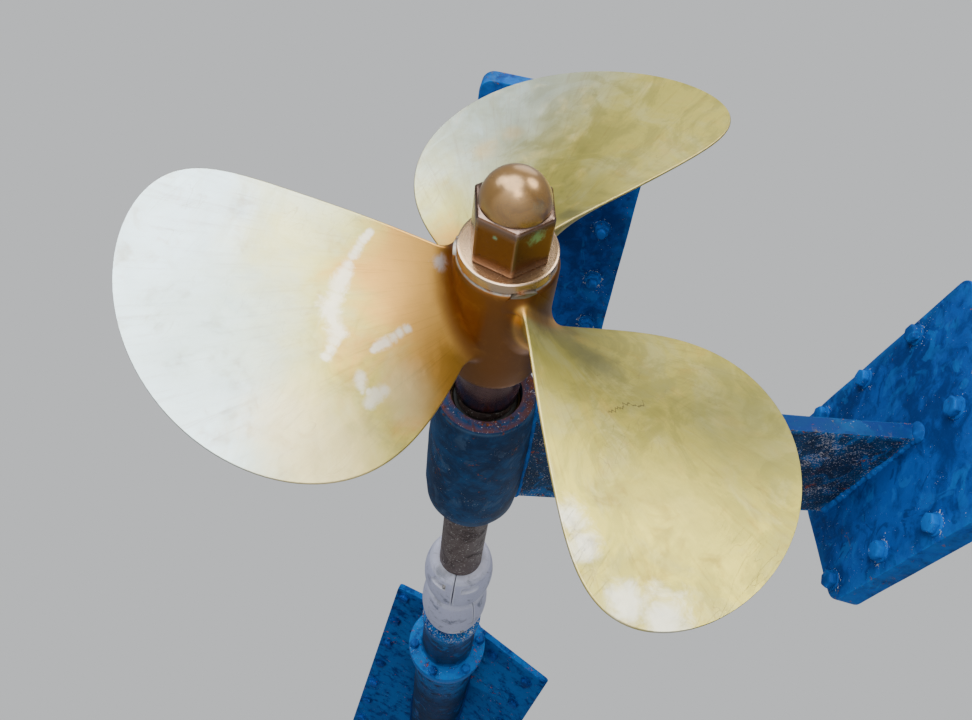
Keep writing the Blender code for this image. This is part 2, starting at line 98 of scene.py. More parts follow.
@dataclass(frozen=True)
class HullFace:
    """A plane that a plate is bolted on: its angle round the shaft, its reach, station and turns."""

    angle: float
    reach: float
    station: float
    slope: float = 11.0
    heading: float = 0.0

    def matrix(self) -> Matrix:
        """Finds the face's axes.

        Returns:
            X to starboard of the plate, Y ahead and Z into the hull, at the face's point.
        """
        turn, fall, yaw = (math.radians(a) for a in (self.angle, self.slope, self.heading))
        out, ahead = radial(turn), axial(-1)
        normal = out * math.cos(fall) + ahead * math.sin(fall)
        straight = ahead * math.cos(fall) - out * math.sin(fall)
        side = normal.cross(straight)
        forward = straight * math.cos(yaw) + side * math.sin(yaw)
        across = side * math.cos(yaw) - straight * math.sin(yaw)
        return framed(-across, forward, normal, out * self.reach + axial(self.station))


STARBOARD_FACE = HullFace(-150.0, 1.375, -0.780)
PORT_FACE = HullFace(-62.0, 1.300, -0.780)
LOG_FACE = HullFace(-79.0, 0.200, -3.15, heading=4.0)
ORIGIN_ON_PALM = (0.05, 0.20, PALM_THICKNESS)


def shaft_to_world() -> Matrix:
    """Finds the way from the shaft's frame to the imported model's.

    Returns:
        The turn, and the move in metres, for points that are scaled to metres already.
    """
    world = (PORT_FACE.matrix() @ Matrix.Translation(ORIGIN_ON_PALM)).inverted()
    world.translation = world.translation * PROPELLER_RADIUS
    return world


class Graph:
    """Adds shader nodes to a material's, a group's or a world's tree and links them."""

    def __init__(self, tree: bpy.types.NodeTree) -> None:
        """Keeps the tree that nodes are added to."""
        self.tree = tree

    def feed(self, socket: bpy.types.NodeSocket, value: object) -> None:
        """Links an input or sets its plain value.

        Args:
            socket: The input to fill.
            value: A wire, a number, or a colour or vector.
        """
        if isinstance(value, Wire):
            self.tree.links.new(value.socket, socket)
        elif isinstance(value, tuple) and socket.type == "RGBA":
            socket.default_value = (*value, 1.0)
        else:
            socket.default_value = value

    def node(self, kind: str, inputs: dict, **settings: object) -> bpy.types.Node:
        """Adds a node.

        Args:
            kind: The node type's name after "ShaderNode".
            inputs: A value for each input, by name or number.
            settings: Properties of the node.

        Returns:
            The new node.
        """
        made = self.tree.nodes.new(f"ShaderNode{kind}")
        for name, value in settings.items():
            setattr(made, name, value)
        for name, value in inputs.items():
            self.feed(made.inputs[name], value)
        return made

    def wire(self, kind: str, output: str | int, inputs: dict, **settings: object) -> "Wire":
        """Adds a node and returns one of its outputs."""
        return Wire(self, self.node(kind, inputs, **settings).outputs[output])

    def math(self, operation: str, a: Value, b: Value = 0.0) -> "Wire":
        """Returns the result of a Math node."""
        return self.wire("Math", 0, {0: a, 1: b}, operation=operation)

    def layers(self, base: Value, *laid: tuple[Value, Value]) -> "Wire":
        """Lays colours over a base.

        Args:
            base: The colour below.
            laid: The mask and the colour of each layer, from the bottom up.

        Returns:
            The colour that shows.
        """
        for mask, colour in laid:
            base = self.wire("Mix", 2, {0: mask, 6: base, 7: colour}, data_type="RGBA", clamp_factor=True)
        return base

    def join(self, x: Value, y: Value, z: Value) -> "Wire":
        """Returns a vector of three parts."""
        return self.wire("CombineXYZ", 0, {0: x, 1: y, 2: z})

    def length(self, x: Value, y: Value) -> "Wire":
        """Returns the length of a flat vector."""
        return self.wire("VectorMath", "Value", {0: self.join(x, y, 0.0)}, operation="LENGTH")


class Wire:
    """A value that runs through a shader tree, where reckoning with it adds Math nodes."""

    def __init__(self, graph: Graph, socket: bpy.types.NodeSocket) -> None:
        """Keeps the graph and the output socket."""
        self.graph, self.socket = graph, socket

    def __add__(self, other: Value) -> "Wire":
        """Returns the sum."""
        return self.graph.math("ADD", self, other)

    def __sub__(self, other: Value) -> "Wire":
        """Returns this less the other."""
        return self.graph.math("SUBTRACT", self, other)

    def __rsub__(self, other: Value) -> "Wire":
        """Returns the other less this."""
        return self.graph.math("SUBTRACT", other, self)

    def __mul__(self, other: Value) -> "Wire":
        """Returns the product."""
        return self.graph.math("MULTIPLY", self, other)

    def step(self, low: Value, high: Value) -> "Wire":
        """Returns a smooth step from 0 at low to 1 at high."""
        return self.graph.wire("MapRange", "Result", {0: self, 1: low, 2: high},
                               interpolation_type="SMOOTHSTEP")

    def noise(self, scale: Value, detail: float = 4.0, rough: float = 0.55,
              distortion: float = 0.0) -> "Wire":
        """Returns a noise texture's value at this vector."""
        return self.graph.wire("TexNoise", "Fac", {"Vector": self, "Scale": scale, "Detail": detail,
                                                   "Roughness": rough, "Distortion": distortion})

    def cells(self, scale: Value) -> "Wire":
        """Returns the distance from this vector to the nearest point of a Voronoi pattern."""
        return self.graph.wire("TexVoronoi", "Distance", {"Vector": self, "Scale": scale})

    def stretched(self, scale: Point, turn: float = 0.0) -> "Wire":
        """Returns this vector scaled along its axes, then turned about Z."""
        return self.graph.wire("Mapping", 0, {"Vector": self, "Scale": scale, "Rotation": (0.0, 0.0, turn)})

    def seen_from(self, place: Sequence[float], turn: Sequence[float]) -> "Wire":
        """Returns this vector in the frame that stands at a place with a turn."""
        return self.graph.wire("Mapping", 0, {"Vector": self, "Location": place, "Rotation": turn},
                               vector_type="TEXTURE")

    def split(self) -> list["Wire"]:
        """Returns this vector's three parts."""
        return [Wire(self.graph, part) for part in self.graph.node("SeparateXYZ", {0: self}).outputs]

    def patches(self, spots: Sequence[Spot], scale: float = 90.0, ragged: float = 3.2) -> "Wire":
        """Masks ragged patches round spots of this vector.

        Args:
            spots: Each patch's middle and reach.
            scale: The scale of its ragged edge's noise.
            ragged: How far the edge strays, as a share of the reach.

        Returns:
            A mask, 1 in the patches.
        """
        stray = self.noise(scale, 5.0, 0.7, 0.6) - 0.5
        mask: Value = 0.0
        for *middle, reach in spots:
            gap = self.graph.wire("VectorMath", "Value", {0: self, 1: middle}, operation="DISTANCE")
            far = gap + stray * (reach * ragged)
            mask = self.graph.math("MAXIMUM", 1.0 - far.step(reach * 0.30, reach * 1.45), mask)
        return mask


Wires: TypeAlias = dict[str, Wire]


class Effect(Enum):
    """The shader node groups that several materials share."""

    PAINT = "worn_antifouling"
    METAL = "tarnished_bronze"
    TURNING = "turning_marks"
    SPECKS = "specks_and_stains"
    SCRATCHES = "hair_scratches"


EFFECT_INPUTS: dict[Effect, dict[str, object]] = {
    Effect.PAINT: {
        "Vector": None, "Paint": (0.01, 0.1, 0.3), "Shade": (0.005, 0.03, 0.1), "Faded": (0.05, 0.25, 0.5),
        "Rust": (0.2, 0.05, 0.02), "Chip": (0.42, 0.10, 0.035), "Crust": (0.4, 0.4, 0.4), "Edge": 0.0,
        "Chips": 0.3, "Stains": 0.3, "Shells": 0.3, "Fading": 0.4},
    Effect.METAL: {
        "Shaft Vector": None, "Polished": (0.8, 0.7, 0.5), "Silvered": (0.8, 0.78, 0.7),
        "Golden": (0.7, 0.4, 0.15), "Brown": (0.3, 0.12, 0.05), "Olive": (0.4, 0.36, 0.12),
        "Bleach": 0.0, "Reach": 0.0, "Cloudiness": 0.5},
    Effect.TURNING: {"Shaft Vector": None, "Rings": 900.0},
    Effect.SPECKS: {"Vector": None, "Scale": 60.0, "Amount": 0.4},
    Effect.SCRATCHES: {"Shaft Vector": None, "Scale": 1.0, "Amount": 0.5},
}


class Effects:
    """Builds the shared node groups once each."""

    def __init__(self) -> None:
        """Makes every group, each by the method of its name."""
        self.groups = {effect: self.group(effect, getattr(self, effect.value)) for effect in Effect}

    @staticmethod
    def group(effect: Effect, shade: Callable[[Graph, Wires], Wires]) -> bpy.types.NodeTree:
        """Builds a group with its named sockets.

        Args:
            effect: Which group it is.
            shade: Makes the outputs' wires from the group's graph and its inputs' wires.

        Returns:
            The group.
        """
        tree = bpy.data.node_groups.new(effect.value, "ShaderNodeTree")
        for name, default in EFFECT_INPUTS[effect].items():
            kind = "Vector" if default is None else "Color" if isinstance(default, tuple) else "Float"
            made = tree.interface.new_socket(name=name, in_out="INPUT", socket_type=f"NodeSocket{kind}")
            if default is not None:
                made.default_value = (*default, 1.0) if kind == "Color" else default
        graph, entry = Graph(tree), tree.nodes.new("NodeGroupInput")
        results = shade(graph, {s.name: Wire(graph, s) for s in entry.outputs if s.name})
        for name in results:
            kind = "Color" if name == "Color" else "Float"
            tree.interface.new_socket(name=name, in_out="OUTPUT", socket_type=f"NodeSocket{kind}")
        end = tree.nodes.new("NodeGroupOutput")
        for name, result in results.items():
            graph.feed(end.inputs[name], result)
        return tree

    @staticmethod
    def worn_antifouling(graph: Graph, given: Wires) -> Wires:
        """Shades blue paint with mottling, faded marks, chips, rust stains and shell crust.

        Args:
            graph: The group's graph.
            given: Its inputs.

        Returns:
            Its outputs.
        """
        at, edge = given["Vector"], given["Edge"]
        mottle = at.noise(36.0, 5.0, 0.68, 0.8)
        tone = (at.noise(8.0, 6.0, 0.62, 0.4) * 0.55 + mottle * 0.45).step(0.42, 0.58)
        strokes = at.stretched((34.0, 20.0, 26.0), math.radians(25.0)).noise(1.0, 3.0, 0.6, 1.3)
        dark = 1.0 - strokes.step(0.36, 0.40)
        fading = strokes.step(0.54, 0.60) * given["Fading"] * at.noise(12.0, 4.0).step(0.42, 0.60)
        # Worn edges turn to the faded colour: worn paint, and a painted highlight along the edges.
        worn = edge * at.noise(45.0, 4.0, 0.7).step(0.34, 0.54)
        low = 0.80 - given["Stains"] * 0.30
        stained = (at.noise(21.0, 7.0, 0.74, 0.7) + edge * 0.05).step(low, low + 0.13)
        eaten = at.noise(24.0, 6.0, 0.72, 0.7).step(0.50, 0.64)
        low = 0.735 - given["Chips"] * 0.11 - eaten * 0.10 - edge * 0.06
        chipped = at.noise(150.0, 5.0, 0.78, 0.4).step(low, low + 0.03)
        region = at.stretched((11.0, 11.0, 26.0)).noise(1.0, 7.0, 0.78, 0.8).step(0.48, 0.64)
        low = 0.82 - given["Shells"] * 0.15 - region * 0.12
        crust = at.noise(400.0, 2.0, 0.6).step(low, low + 0.05)
        bare = graph.layers(given["Rust"], (at.noise(130.0, 2.0).step(0.44, 0.58), given["Chip"]))
        colour = graph.layers(
            given["Shade"], (tone, given["Paint"]), (dark * 0.7, given["Shade"]),
            (fading * 0.8, given["Faded"]), (worn * 0.7, given["Faded"]), (stained * 0.75, given["Rust"]),
            (chipped, bare), (crust, given["Crust"]))
        flaked = graph.math("MAXIMUM", chipped, crust)
        height = at.noise(60.0, 6.0, 0.66) * 0.6 + at.noise(330.0, 2.0) * 0.14 + strokes * 0.2
        return {"Color": colour, "Roughness": mottle * 0.2 + 0.50 + flaked * 0.25 + stained * 0.12,
                "Height": height - chipped * 0.35 + crust * 0.6}

    @staticmethod
    def tarnished_bronze(graph: Graph, given: Wires) -> Wires:
        """Shades brushed bronze that is polished far from the shaft and stained near it, with a painted pale
        glare where its glare input asks for it.

        Args:
            graph: The group's graph.
            given: Its inputs.

        Returns:
            Its outputs.
        """
        at, glare = given["Shaft Vector"], given["Bleach"]
        x, y, z = at.stretched((1.0, 1.0, 1.0), math.radians(-50.0)).split()
        bare = graph.length(x, y)
        drift = (at.noise(9.0, 6.0, 0.62, 0.9) - 0.5) * given["Cloudiness"] * bare.step(0.060, 0.14)
        radius = bare + drift * 0.42 + given["Reach"] * bare.step(0.0605, 0.080)
        polish = radius.step(0.115, 0.200)
        warm = graph.layers(given["Brown"], (radius.step(0.0598, 0.085), given["Golden"]))
        wisps = at.stretched((10.0, 10.0, 22.0)).noise(1.0, 6.0, 0.66, 1.4)
        around = graph.math("ARCTAN2", y, x)
        brush = graph.join(bare * 11.0, around * 55.0, z * 30.0).noise(1.0, 5.0, 0.72)
        # Besides the pale wisps, the glare input paints a pale glare over the polished part.
        pale = wisps.step(0.44, 0.70) * 0.14 + glare * radius.step(0.12, 0.34)
        strokes = at.stretched((13.0, 9.0, 11.0), math.radians(35.0)).noise(1.0, 5.0, 0.68, 1.6)
        olive = strokes.step(0.44, 0.60) * (0.58 - glare * 0.50)
        bright = graph.layers(given["Polished"], (pale, given["Silvered"]), (olive, given["Olive"]))
        dull = at.noise(26.0, 6.0, 0.7, 0.5).step(0.50, 0.74)
        colour = graph.layers(warm, (polish, bright), (dull * 0.20, given["Golden"]),
                              (brush.step(0.50, 0.74) * 0.22, given["Brown"]))
        height = at.noise(15.0, 3.0, 0.5) * 0.6 + at.noise(90.0, 4.0, 0.6) * 0.08 + brush * 0.05
        return {"Color": colour, "Roughness": wisps * 0.22 + 0.27 + dull * 0.12 + brush * 0.06,
                "Height": height, "Polish": polish}

    @staticmethod
    def turning_marks(graph: Graph, given: Wires) -> Wires:
        """Shades the fine rings that turning leaves round the shaft.

        Args:
            graph: The group's graph.
            given: Its inputs.

        Returns:
            Its outputs.
        """
        x, y, z = given["Shaft Vector"].split()
        rings = given["Rings"]
        lines = graph.join(graph.length(x, y) * rings, z * rings, 0.0).noise(1.0, 2.0, 0.5)
        return {"Mask": lines.step(0.42, 0.62), "Height": lines}

    @staticmethod
    def specks_and_stains(graph: Graph, given: Wires) -> Wires:
        """Shades pits, specks and soft stains.

        Args:
            graph: The group's graph, which is not used.
            given: Its inputs.

        Returns:
            Its outputs.
        """
        at, scale, amount = given["Vector"], given["Scale"], given["Amount"]
        soft, fine = 0.74 - amount * 0.34, 0.80 - amount * 0.22
        return {"Stain": at.noise(scale * 0.22, 6.0, 0.7, 0.7).step(soft, soft + 0.2),
                "Specks": at.noise(scale * 2.4, 3.0, 0.6).step(fine, fine + 0.05),
                "Pits": 1.0 - at.cells(scale * 1.5).step(0.04, 0.16)}

    @staticmethod
    def hair_scratches(graph: Graph, given: Wires) -> Wires:
        """Shades long hair scratches, in three directions.

        Args:
            graph: The group's graph.
            given: Its inputs.

        Returns:
            Its outputs.
        """
        at, every = given["Shaft Vector"], 0.0
        for turn, stretch, width in ((0.4, (60.0, 5.0, 40.0), 0.006), (1.3, (48.0, 4.0, 30.0), 0.005),
                                     (2.3, (70.0, 7.0, 50.0), 0.006)):
            lines = at.stretched(stretch, turn).noise(given["Scale"], 1.0, 0.4, 0.2)
            off = graph.math("ABSOLUTE", lines - 0.5)
            every = graph.math("MAXIMUM", 1.0 - off.step(0.0, width), every)
        return {"Mask": every * at.noise(11.0, 3.0).step(0.45, 0.62) * given["Amount"]}


class Surface:
    """A material under work, with its shader, the shared effects and where its points lie."""

    def __init__(self, effects: Effects, name: str) -> None:
        """Starts the material.

        Args:
            effects: The shared node groups.
            name: The material's name.
        """
        self.effects, self.material = effects, bpy.data.materials.new(name)
        self.material.use_nodes = True
        self.graph = Graph(self.material.node_tree)
        self.shader = self.material.node_tree.nodes["Principled BSDF"]
        self.where = self.graph.wire("TexCoord", "Object", {})
        world = shaft_to_world()
        self.shaft = self.where.seen_from(world.translation, world.to_euler("XYZ"))

    def wear(self) -> Wire:
        """Returns how sharp the mesh's edges are."""
        return self.graph.wire("Attribute", "Fac", {}, attribute_name="edge_wear")

    def place(self, effect: Effect, **values: Value) -> Wires:
        """Places a shared group with its own values.

        Args:
            effect: Which group.
            values: A value for each named input, with _ for a space.

        Returns:
            The group's outputs.
        """
        inputs = {name.replace("_", " "): value for name, value in values.items()}
        made = self.graph.node("Group", inputs, node_tree=self.effects.groups[effect])
        return {output.name: Wire(self.graph, output) for output in made.outputs}

    def feed(self, **values: Value) -> None:
        """Fills inputs of the shader, with _ for a space in their names."""
        for name, value in values.items():
            self.graph.feed(self.shader.inputs[name.replace("_", " ")], value)

    def bump(self, height: Wire, strength: float, distance: float) -> None:
        """Feeds the shader's normal from a height, of which 1 is the distance in metres."""
        inputs = {"Strength": strength, "Distance": distance, "Height": height}
        self.feed(Normal=self.graph.wire("Bump", "Normal", inputs))


@dataclass(frozen=True)
class Finish:
    """A material that is built from the shared effects."""

    name: str

    def make(self, effects: Effects) -> bpy.types.Material:
        """Builds the material.

        Args:
            effects: The shared node groups.

        Returns:
            The material.
        """
        surface = Surface(effects, self.name)
        self.dress(surface)
        return surface.material

    def dress(self, on: Surface) -> None:
        """Lays the finish on a surface."""
        raise NotImplementedError(self.name)


@dataclass(frozen=True)
class Antifouling(Finish):
    """Blue antifouling on steel, with how chipped, stained and shell-crusted it is."""

    paint: Colour = (0.0005, 0.076, 0.370)
    shade: Colour = (0.0006, 0.030, 0.165)
    faded: Colour = (0.005, 0.190, 0.600)
    rust: Colour = (0.100, 0.045, 0.022)
    chip: Colour = (0.420, 0.090, 0.035)
    crust: Colour = (0.500, 0.520, 0.560)
    chips: float = 0.35
    stains: float = 0.35
    shells: float = 0.20
    fading: float = 0.55
    relief: float = 0.0016
    sheen: float = 0.16
    salted: tuple[Spot, ...] = ()
    salting: float = 2.4

    def dress(self, on: Surface) -> None:
        """Lays the paint, with more shell crust round the salted spots.

        Args:
            on: The surface.
        """
        shells: Value = self.shells
        if self.salted:
            shells = on.where.patches(self.salted) * self.salting + self.shells
        paint = on.place(
            Effect.PAINT, Vector=on.where, Paint=self.paint, Shade=self.shade, Faded=self.faded,
            Rust=self.rust, Chip=self.chip, Crust=self.crust, Edge=on.wear(), Chips=self.chips,
            Stains=self.stains, Shells=shells, Fading=self.fading)
        on.feed(Base_Color=paint["Color"], Roughness=paint["Roughness"], Specular_IOR_Level=self.sheen)
        on.bump(paint["Height"], 0.8, self.relief)


@dataclass(frozen=True)
class Tint:
    """A colour laid over the bronze in soft patches, in metres in the shaft's frame: a painted highlight,
    glint or shade, or a patch of the bronze's colour.
    """

    colour: Colour
    strength: float
    scale: float
    ragged: float
    spots: tuple[Spot, ...]


def trail(spots: Sequence[Spot], parts: int = 3) -> tuple[Spot, ...]:
    """Sets more spots between each one and the next, as a brush stroke runs on.

    Args:
        spots: The spots of the stroke.
        parts: How many steps lead from one to the next.

    Returns:
        All the spots.
    """
    pairs = [(a, b, i / parts) for a, b in zip(spots, spots[1:]) for i in range(parts)]
    between = [tuple(low + (high - low) * share for low, high in zip(a, b)) for a, b, share in pairs]
    return (*between, spots[-1])


# The path of a painted glint: a white streak over the left blade.
GLINT_STREAK = (
    (0.141, 0.065, -0.073, 0.004), (0.142, 0.079, -0.080, 0.005), (0.140, 0.093, -0.087, 0.006),
    (0.133, 0.119, -0.099, 0.009), (0.124, 0.145, -0.111, 0.012), (0.112, 0.156, -0.119, 0.012),
    (0.098, 0.159, -0.125, 0.009), (0.092, 0.187, -0.133, 0.005),
)
# Tints of the blades, as the camera sees them: most are painted light, glints and shade, the rest patches of
# colour.
BLADE_LIGHTS_AND_TINTS = (
    # Painted shade: a dim grey-green patch in the middle of the left blade.
    Tint((0.480, 0.580, 0.500), 0.60, 14.0, 1.2, ((0.200, 0.240, -0.120, 0.085),)),
    # Painted light: a creamy bright band along the left blade's lower edge and low root.
    Tint((0.900, 0.740, 0.400), 0.55, 16.0, 1.4, (
        (0.016, 0.262, -0.168, 0.060), (0.070, 0.260, -0.155, 0.050), (0.004, 0.150, -0.155, 0.036))),
    Tint((0.800, 0.700, 0.180), 0.40, 16.0, 1.2, (
        (0.206, 0.123, -0.087, 0.045), (-0.290, 0.100, -0.100, 0.060))),
    # Painted shade: the right blade's upper right part dimmed to olive.
    Tint((0.300, 0.290, 0.110), 0.55, 12.0, 1.4, (
        (-0.300, -0.050, -0.130, 0.080), (-0.270, -0.090, -0.130, 0.050))),
    # Painted shade: a dark olive patch at the right blade's root, and one small spot more.
    Tint((0.250, 0.240, 0.110), 0.70, 24.0, 1.6, (
        (-0.132, -0.002, -0.120, 0.032), (-0.007, -0.110, -0.073, 0.016))),
    # Painted shadow on the hub beside the right blade's root.
    Tint((0.120, 0.055, 0.022), 0.65, 20.0, 1.2, ((-0.057, 0.014, -0.090, 0.034),)),
    # Painted glint: a white streak across the left blade.
    Tint((0.950, 0.900, 0.760), 0.72, 46.0, 3.0, trail(GLINT_STREAK)),
    # Painted glints: short white strokes on the left blade.
    Tint((0.920, 0.890, 0.800), 0.65, 46.0, 2.4, trail((
        (0.050, 0.104, -0.128, 0.005), (0.057, 0.130, -0.132, 0.007), (0.061, 0.146, -0.135, 0.004)))),
    # Painted glints: more short white strokes on the left blade.
    Tint((0.920, 0.890, 0.820), 0.60, 46.0, 2.4, trail((
        (0.052, 0.177, -0.146, 0.009), (0.040, 0.186, -0.151, 0.003), (0.027, 0.168, -0.156, 0.008),
        (0.028, 0.188, -0.157, 0.007)))),
    # Painted glint: a small lavender highlight at the left blade's root.
    Tint((0.700, 0.680, 0.760), 0.50, 70.0, 2.6, ((0.060, 0.040, -0.078, 0.009),)),
    Tint((0.860, 0.600, 0.230), 0.40, 24.0, 1.6, (
        (0.175, -0.189, -0.148, 0.018), (0.160, -0.230, -0.140, 0.014))),
    # Painted glare: white patches on the right blade towards its tip.
    Tint((0.900, 0.910, 0.860), 0.70, 34.0, 2.4, (
        (-0.348, 0.208, -0.087, 0.026), (-0.318, 0.226, -0.082, 0.020), (-0.228, 0.194, -0.078, 0.018),
        (-0.255, 0.208, -0.078, 0.016))),
)


@dataclass(frozen=True)
class PolishedBronze(Finish):
    """The propeller's bronze: brown at the hub, golden at the roots, pale and satin on the blades, with
    painted glare, glints and shade laid over it.
    """

    polished: Colour = (0.620, 0.545, 0.125)
    wisps_and_glare: Colour = (0.640, 0.770, 0.790)
    golden: Colour = (0.740, 0.400, 0.095)
    brown: Colour = (0.245, 0.096, 0.024)
    olive: Colour = (0.390, 0.355, 0.090)
    salt: Colour = (0.360, 0.440, 0.440)
    scratched: Colour = (0.30, 0.22, 0.12)
    rubbed_edge_highlight: Colour = (0.86, 0.66, 0.38)
    grime: Colour = (0.20, 0.11, 0.07)
    scored: Colour = (0.16, 0.13, 0.06)
    specks: Colour = (0.16, 0.09, 0.05)
    cloudiness: float = 0.50
    glare_lean: tuple[float, float] = (0.22, 0.46)
    golden_side: tuple[float, float] = (0.0, 0.06)
    rim: tuple[float, float] = (-0.0548, -0.0538)
    painted_lights_and_tints: tuple[Tint, ...] = BLADE_LIGHTS_AND_TINTS
    scrape: Point = (-0.183, 0.060, 0.0)
    scrape_turn: float = 248.0

    def scraped(self, on: Surface) -> Wire:
        """Masks the wavy scrape on the lower blade.

        Args:
            on: The surface.

        Returns:
            A mask, 1 in the scrape.
        """
        along, off, _ = on.shaft.seen_from(self.scrape, (0.0, 0.0, math.radians(self.scrape_turn))).split()
        wave = on.graph.join(along, 0.0, 0.0).noise(52.0, 3.0, 0.72) - 0.5
        line = 1.0 - on.graph.math("ABSOLUTE", off - wave * 0.044).step(0.0004, 0.0016)
        return line * (along.step(0.0, 0.004) * (1.0 - along.step(0.052, 0.058)))

    def dress(self, on: Surface) -> None:
        """Lays the bronze with its tints, painted glare, glints and shade, scratches and stains.

        Args:
            on: The surface.
        """
        x, y, z = on.shaft.split()
        # Painted glare: x + y grows towards the left blade, which is painted pale as though the light falls
        # on it; x also pales the upper blade's left part.
        lit = x + y
        metal = on.place(
            Effect.METAL, Shaft_Vector=on.shaft, Polished=self.polished, Silvered=self.wisps_and_glare,
            Golden=self.golden, Brown=self.brown, Olive=self.olive, Cloudiness=self.cloudiness,
            Bleach=on.graph.math("MAXIMUM", lit.step(*self.glare_lean), x.step(0.06, 0.20) * 0.7),
            Reach=(1.0 - lit.step(*self.golden_side)) * 0.10)
        polish = metal["Polish"]
        scrapes = on.place(Effect.SCRATCHES, Shaft_Vector=on.shaft, Scale=1.0, Amount=0.8)["Mask"] * polish
        marks = on.place(Effect.SPECKS, Vector=on.where, Scale=70.0, Amount=0.25)
        painted_lights_and_tints = [(on.shaft.patches(tint.spots, tint.scale, tint.ragged) * tint.strength, tint.colour)
                 for tint in self.painted_lights_and_tints]
        dirt = marks["Stain"] * (1.0 - polish) * 0.55
        salt = z.step(*self.rim) * on.shaft.noise(70.0, 4.0, 0.7).step(0.36, 0.56)
        crack = self.scraped(on)
        colour = on.graph.layers(
            metal["Color"], (scrapes * 0.35, self.scratched), *painted_lights_and_tints,
            # Sharp edges turn paler: rubbed wear, and a painted highlight along them.
            (on.wear() * polish * 0.8, self.rubbed_edge_highlight), (dirt, self.grime), (salt * 0.55, self.salt),
            (crack * 0.75, self.scored),
            (marks["Specks"] * 0.5, self.specks))
        on.feed(Base_Color=colour, Metallic=1.0, Roughness=metal["Roughness"] + dirt * 0.25)
        on.bump(metal["Height"] - (scrapes + crack) * 0.05, 0.35, 0.004)


@dataclass(frozen=True)
class TurnedMetal(Finish):
    """Turned metal with turning marks, darker stains, verdigris and pits."""

    bright: Colour = (0.560, 0.290, 0.120)
    dark: Colour = (0.200, 0.080, 0.035)
    verdigris: Colour = (0.200, 0.330, 0.240)
    pits: Colour = (0.060, 0.035, 0.020)
    rubbed_edge_highlight: Colour = (0.620, 0.460, 0.360)
    rings: float = 900.0
    stained: float = 0.5
    green: float = 0.25
    roughness: tuple[float, float] = (0.22, 0.45)
    metallic: float = 1.0
    relief: float = 0.0005
    film: float = 0.0
    glow: Colour = (0.380, 0.190, 0.030)
    film_from: tuple[float, float] = (0.0305, 0.0325)
    blooms: tuple[Spot, ...] = ()

    def dress(self, on: Surface) -> None:
        """Lays the metal, with a glossy film over its end where it has one, and there a warm colour that is
        partly a painted reflection.

        Args:
            on: The surface.
        """
        turning = on.place(Effect.TURNING, Shaft_Vector=on.shaft, Rings=self.rings)
        stain = on.place(Effect.SPECKS, Vector=on.where, Scale=110.0, Amount=self.stained)
        bloom = on.place(Effect.SPECKS, Vector=on.shaft, Scale=190.0, Amount=self.green)
        layers = [(stain["Stain"], self.dark), (turning["Mask"] * 0.18, self.dark),
                  (bloom["Stain"] * 0.7, self.verdigris)]
        if self.blooms:
            layers.append((on.shaft.patches(self.blooms, 260.0) * 0.85, self.verdigris))
        # Sharp edges turn paler: rubbed wear, and a painted edge highlight.
        layers += [(stain["Specks"], self.pits), (on.wear() * 0.35, self.rubbed_edge_highlight)]
        metallic: Value = self.metallic
        if self.film > 0:
            lit = on.shaft.split()[2].step(*self.film_from)
            # The end's warm glow colour is partly the bronze's own and partly a painted warm reflection.
            layers.append((lit * 0.85, on.graph.layers(self.glow, (stain["Stain"] * 0.6, self.dark))))
            metallic = self.metallic - lit * 0.35
            on.feed(Coat_Weight=lit * self.film, Coat_Roughness=0.30, Coat_IOR=2.1)
        low, high = self.roughness
        soft = on.graph.math("MAXIMUM", stain["Stain"], bloom["Stain"])
        on.feed(Base_Color=on.graph.layers(self.bright, *layers), Metallic=metallic,
                Roughness=soft * (high - low) + low)
        on.bump(turning["Height"] * 0.35 - stain["Specks"], 0.5, self.relief)


@dataclass(frozen=True)
class ChalkyZinc(Finish):
    """Zinc anodes: cast, chalky, with white bloom, grey patches and eaten pits."""

    light: Colour = (0.480, 0.490, 0.680)
    grey: Colour = (0.095, 0.105, 0.170)
    bloom: Colour = (0.700, 0.690, 0.800)
    brown: Colour = (0.130, 0.075, 0.055)
    rubbed_edge_highlight: Colour = (0.80, 0.80, 0.86)

    def dress(self, on: Surface) -> None:
        """Lays the zinc.

        Args:
            on: The surface.
        """
        broad = on.place(Effect.SPECKS, Vector=on.where, Scale=150.0, Amount=0.66)
        fine = on.place(Effect.SPECKS, Vector=on.where, Scale=340.0, Amount=0.42)
        colour = on.graph.layers(
            self.light, (broad["Stain"], self.grey), (fine["Stain"] * 0.6, self.bloom),
            (fine["Pits"] * 0.5, self.grey), (broad["Specks"] * 0.8, self.brown),
            # Sharp edges turn paler: rubbed wear, and a painted edge highlight.
            (on.wear() * 0.7, self.rubbed_edge_highlight))
        on.feed(Base_Color=colour, Roughness=fine["Stain"] * 0.25 + 0.62)
        on.bump(on.where.noise(150.0, 5.0, 0.65) - fine["Pits"] * 0.8, 0.8, 0.0020)


@dataclass(frozen=True)
class BlackRubber(Finish):
    """Water-lubricated bearing rubber with grey wear."""

    rubber: Colour = (0.009, 0.009, 0.010)
    worn: Colour = (0.026, 0.026, 0.025)

    def dress(self, on: Surface) -> None:
        """Lays the rubber.

        Args:
            on: The surface.
        """
        stain = on.place(Effect.SPECKS, Vector=on.where, Scale=120.0, Amount=0.4)["Stain"]
        on.feed(Base_Color=on.graph.layers(self.rubber, (stain, self.worn)), Roughness=stain * 0.25 + 0.6)
        on.bump(on.where.noise(400.0, 3.0), 0.4, 0.0004)


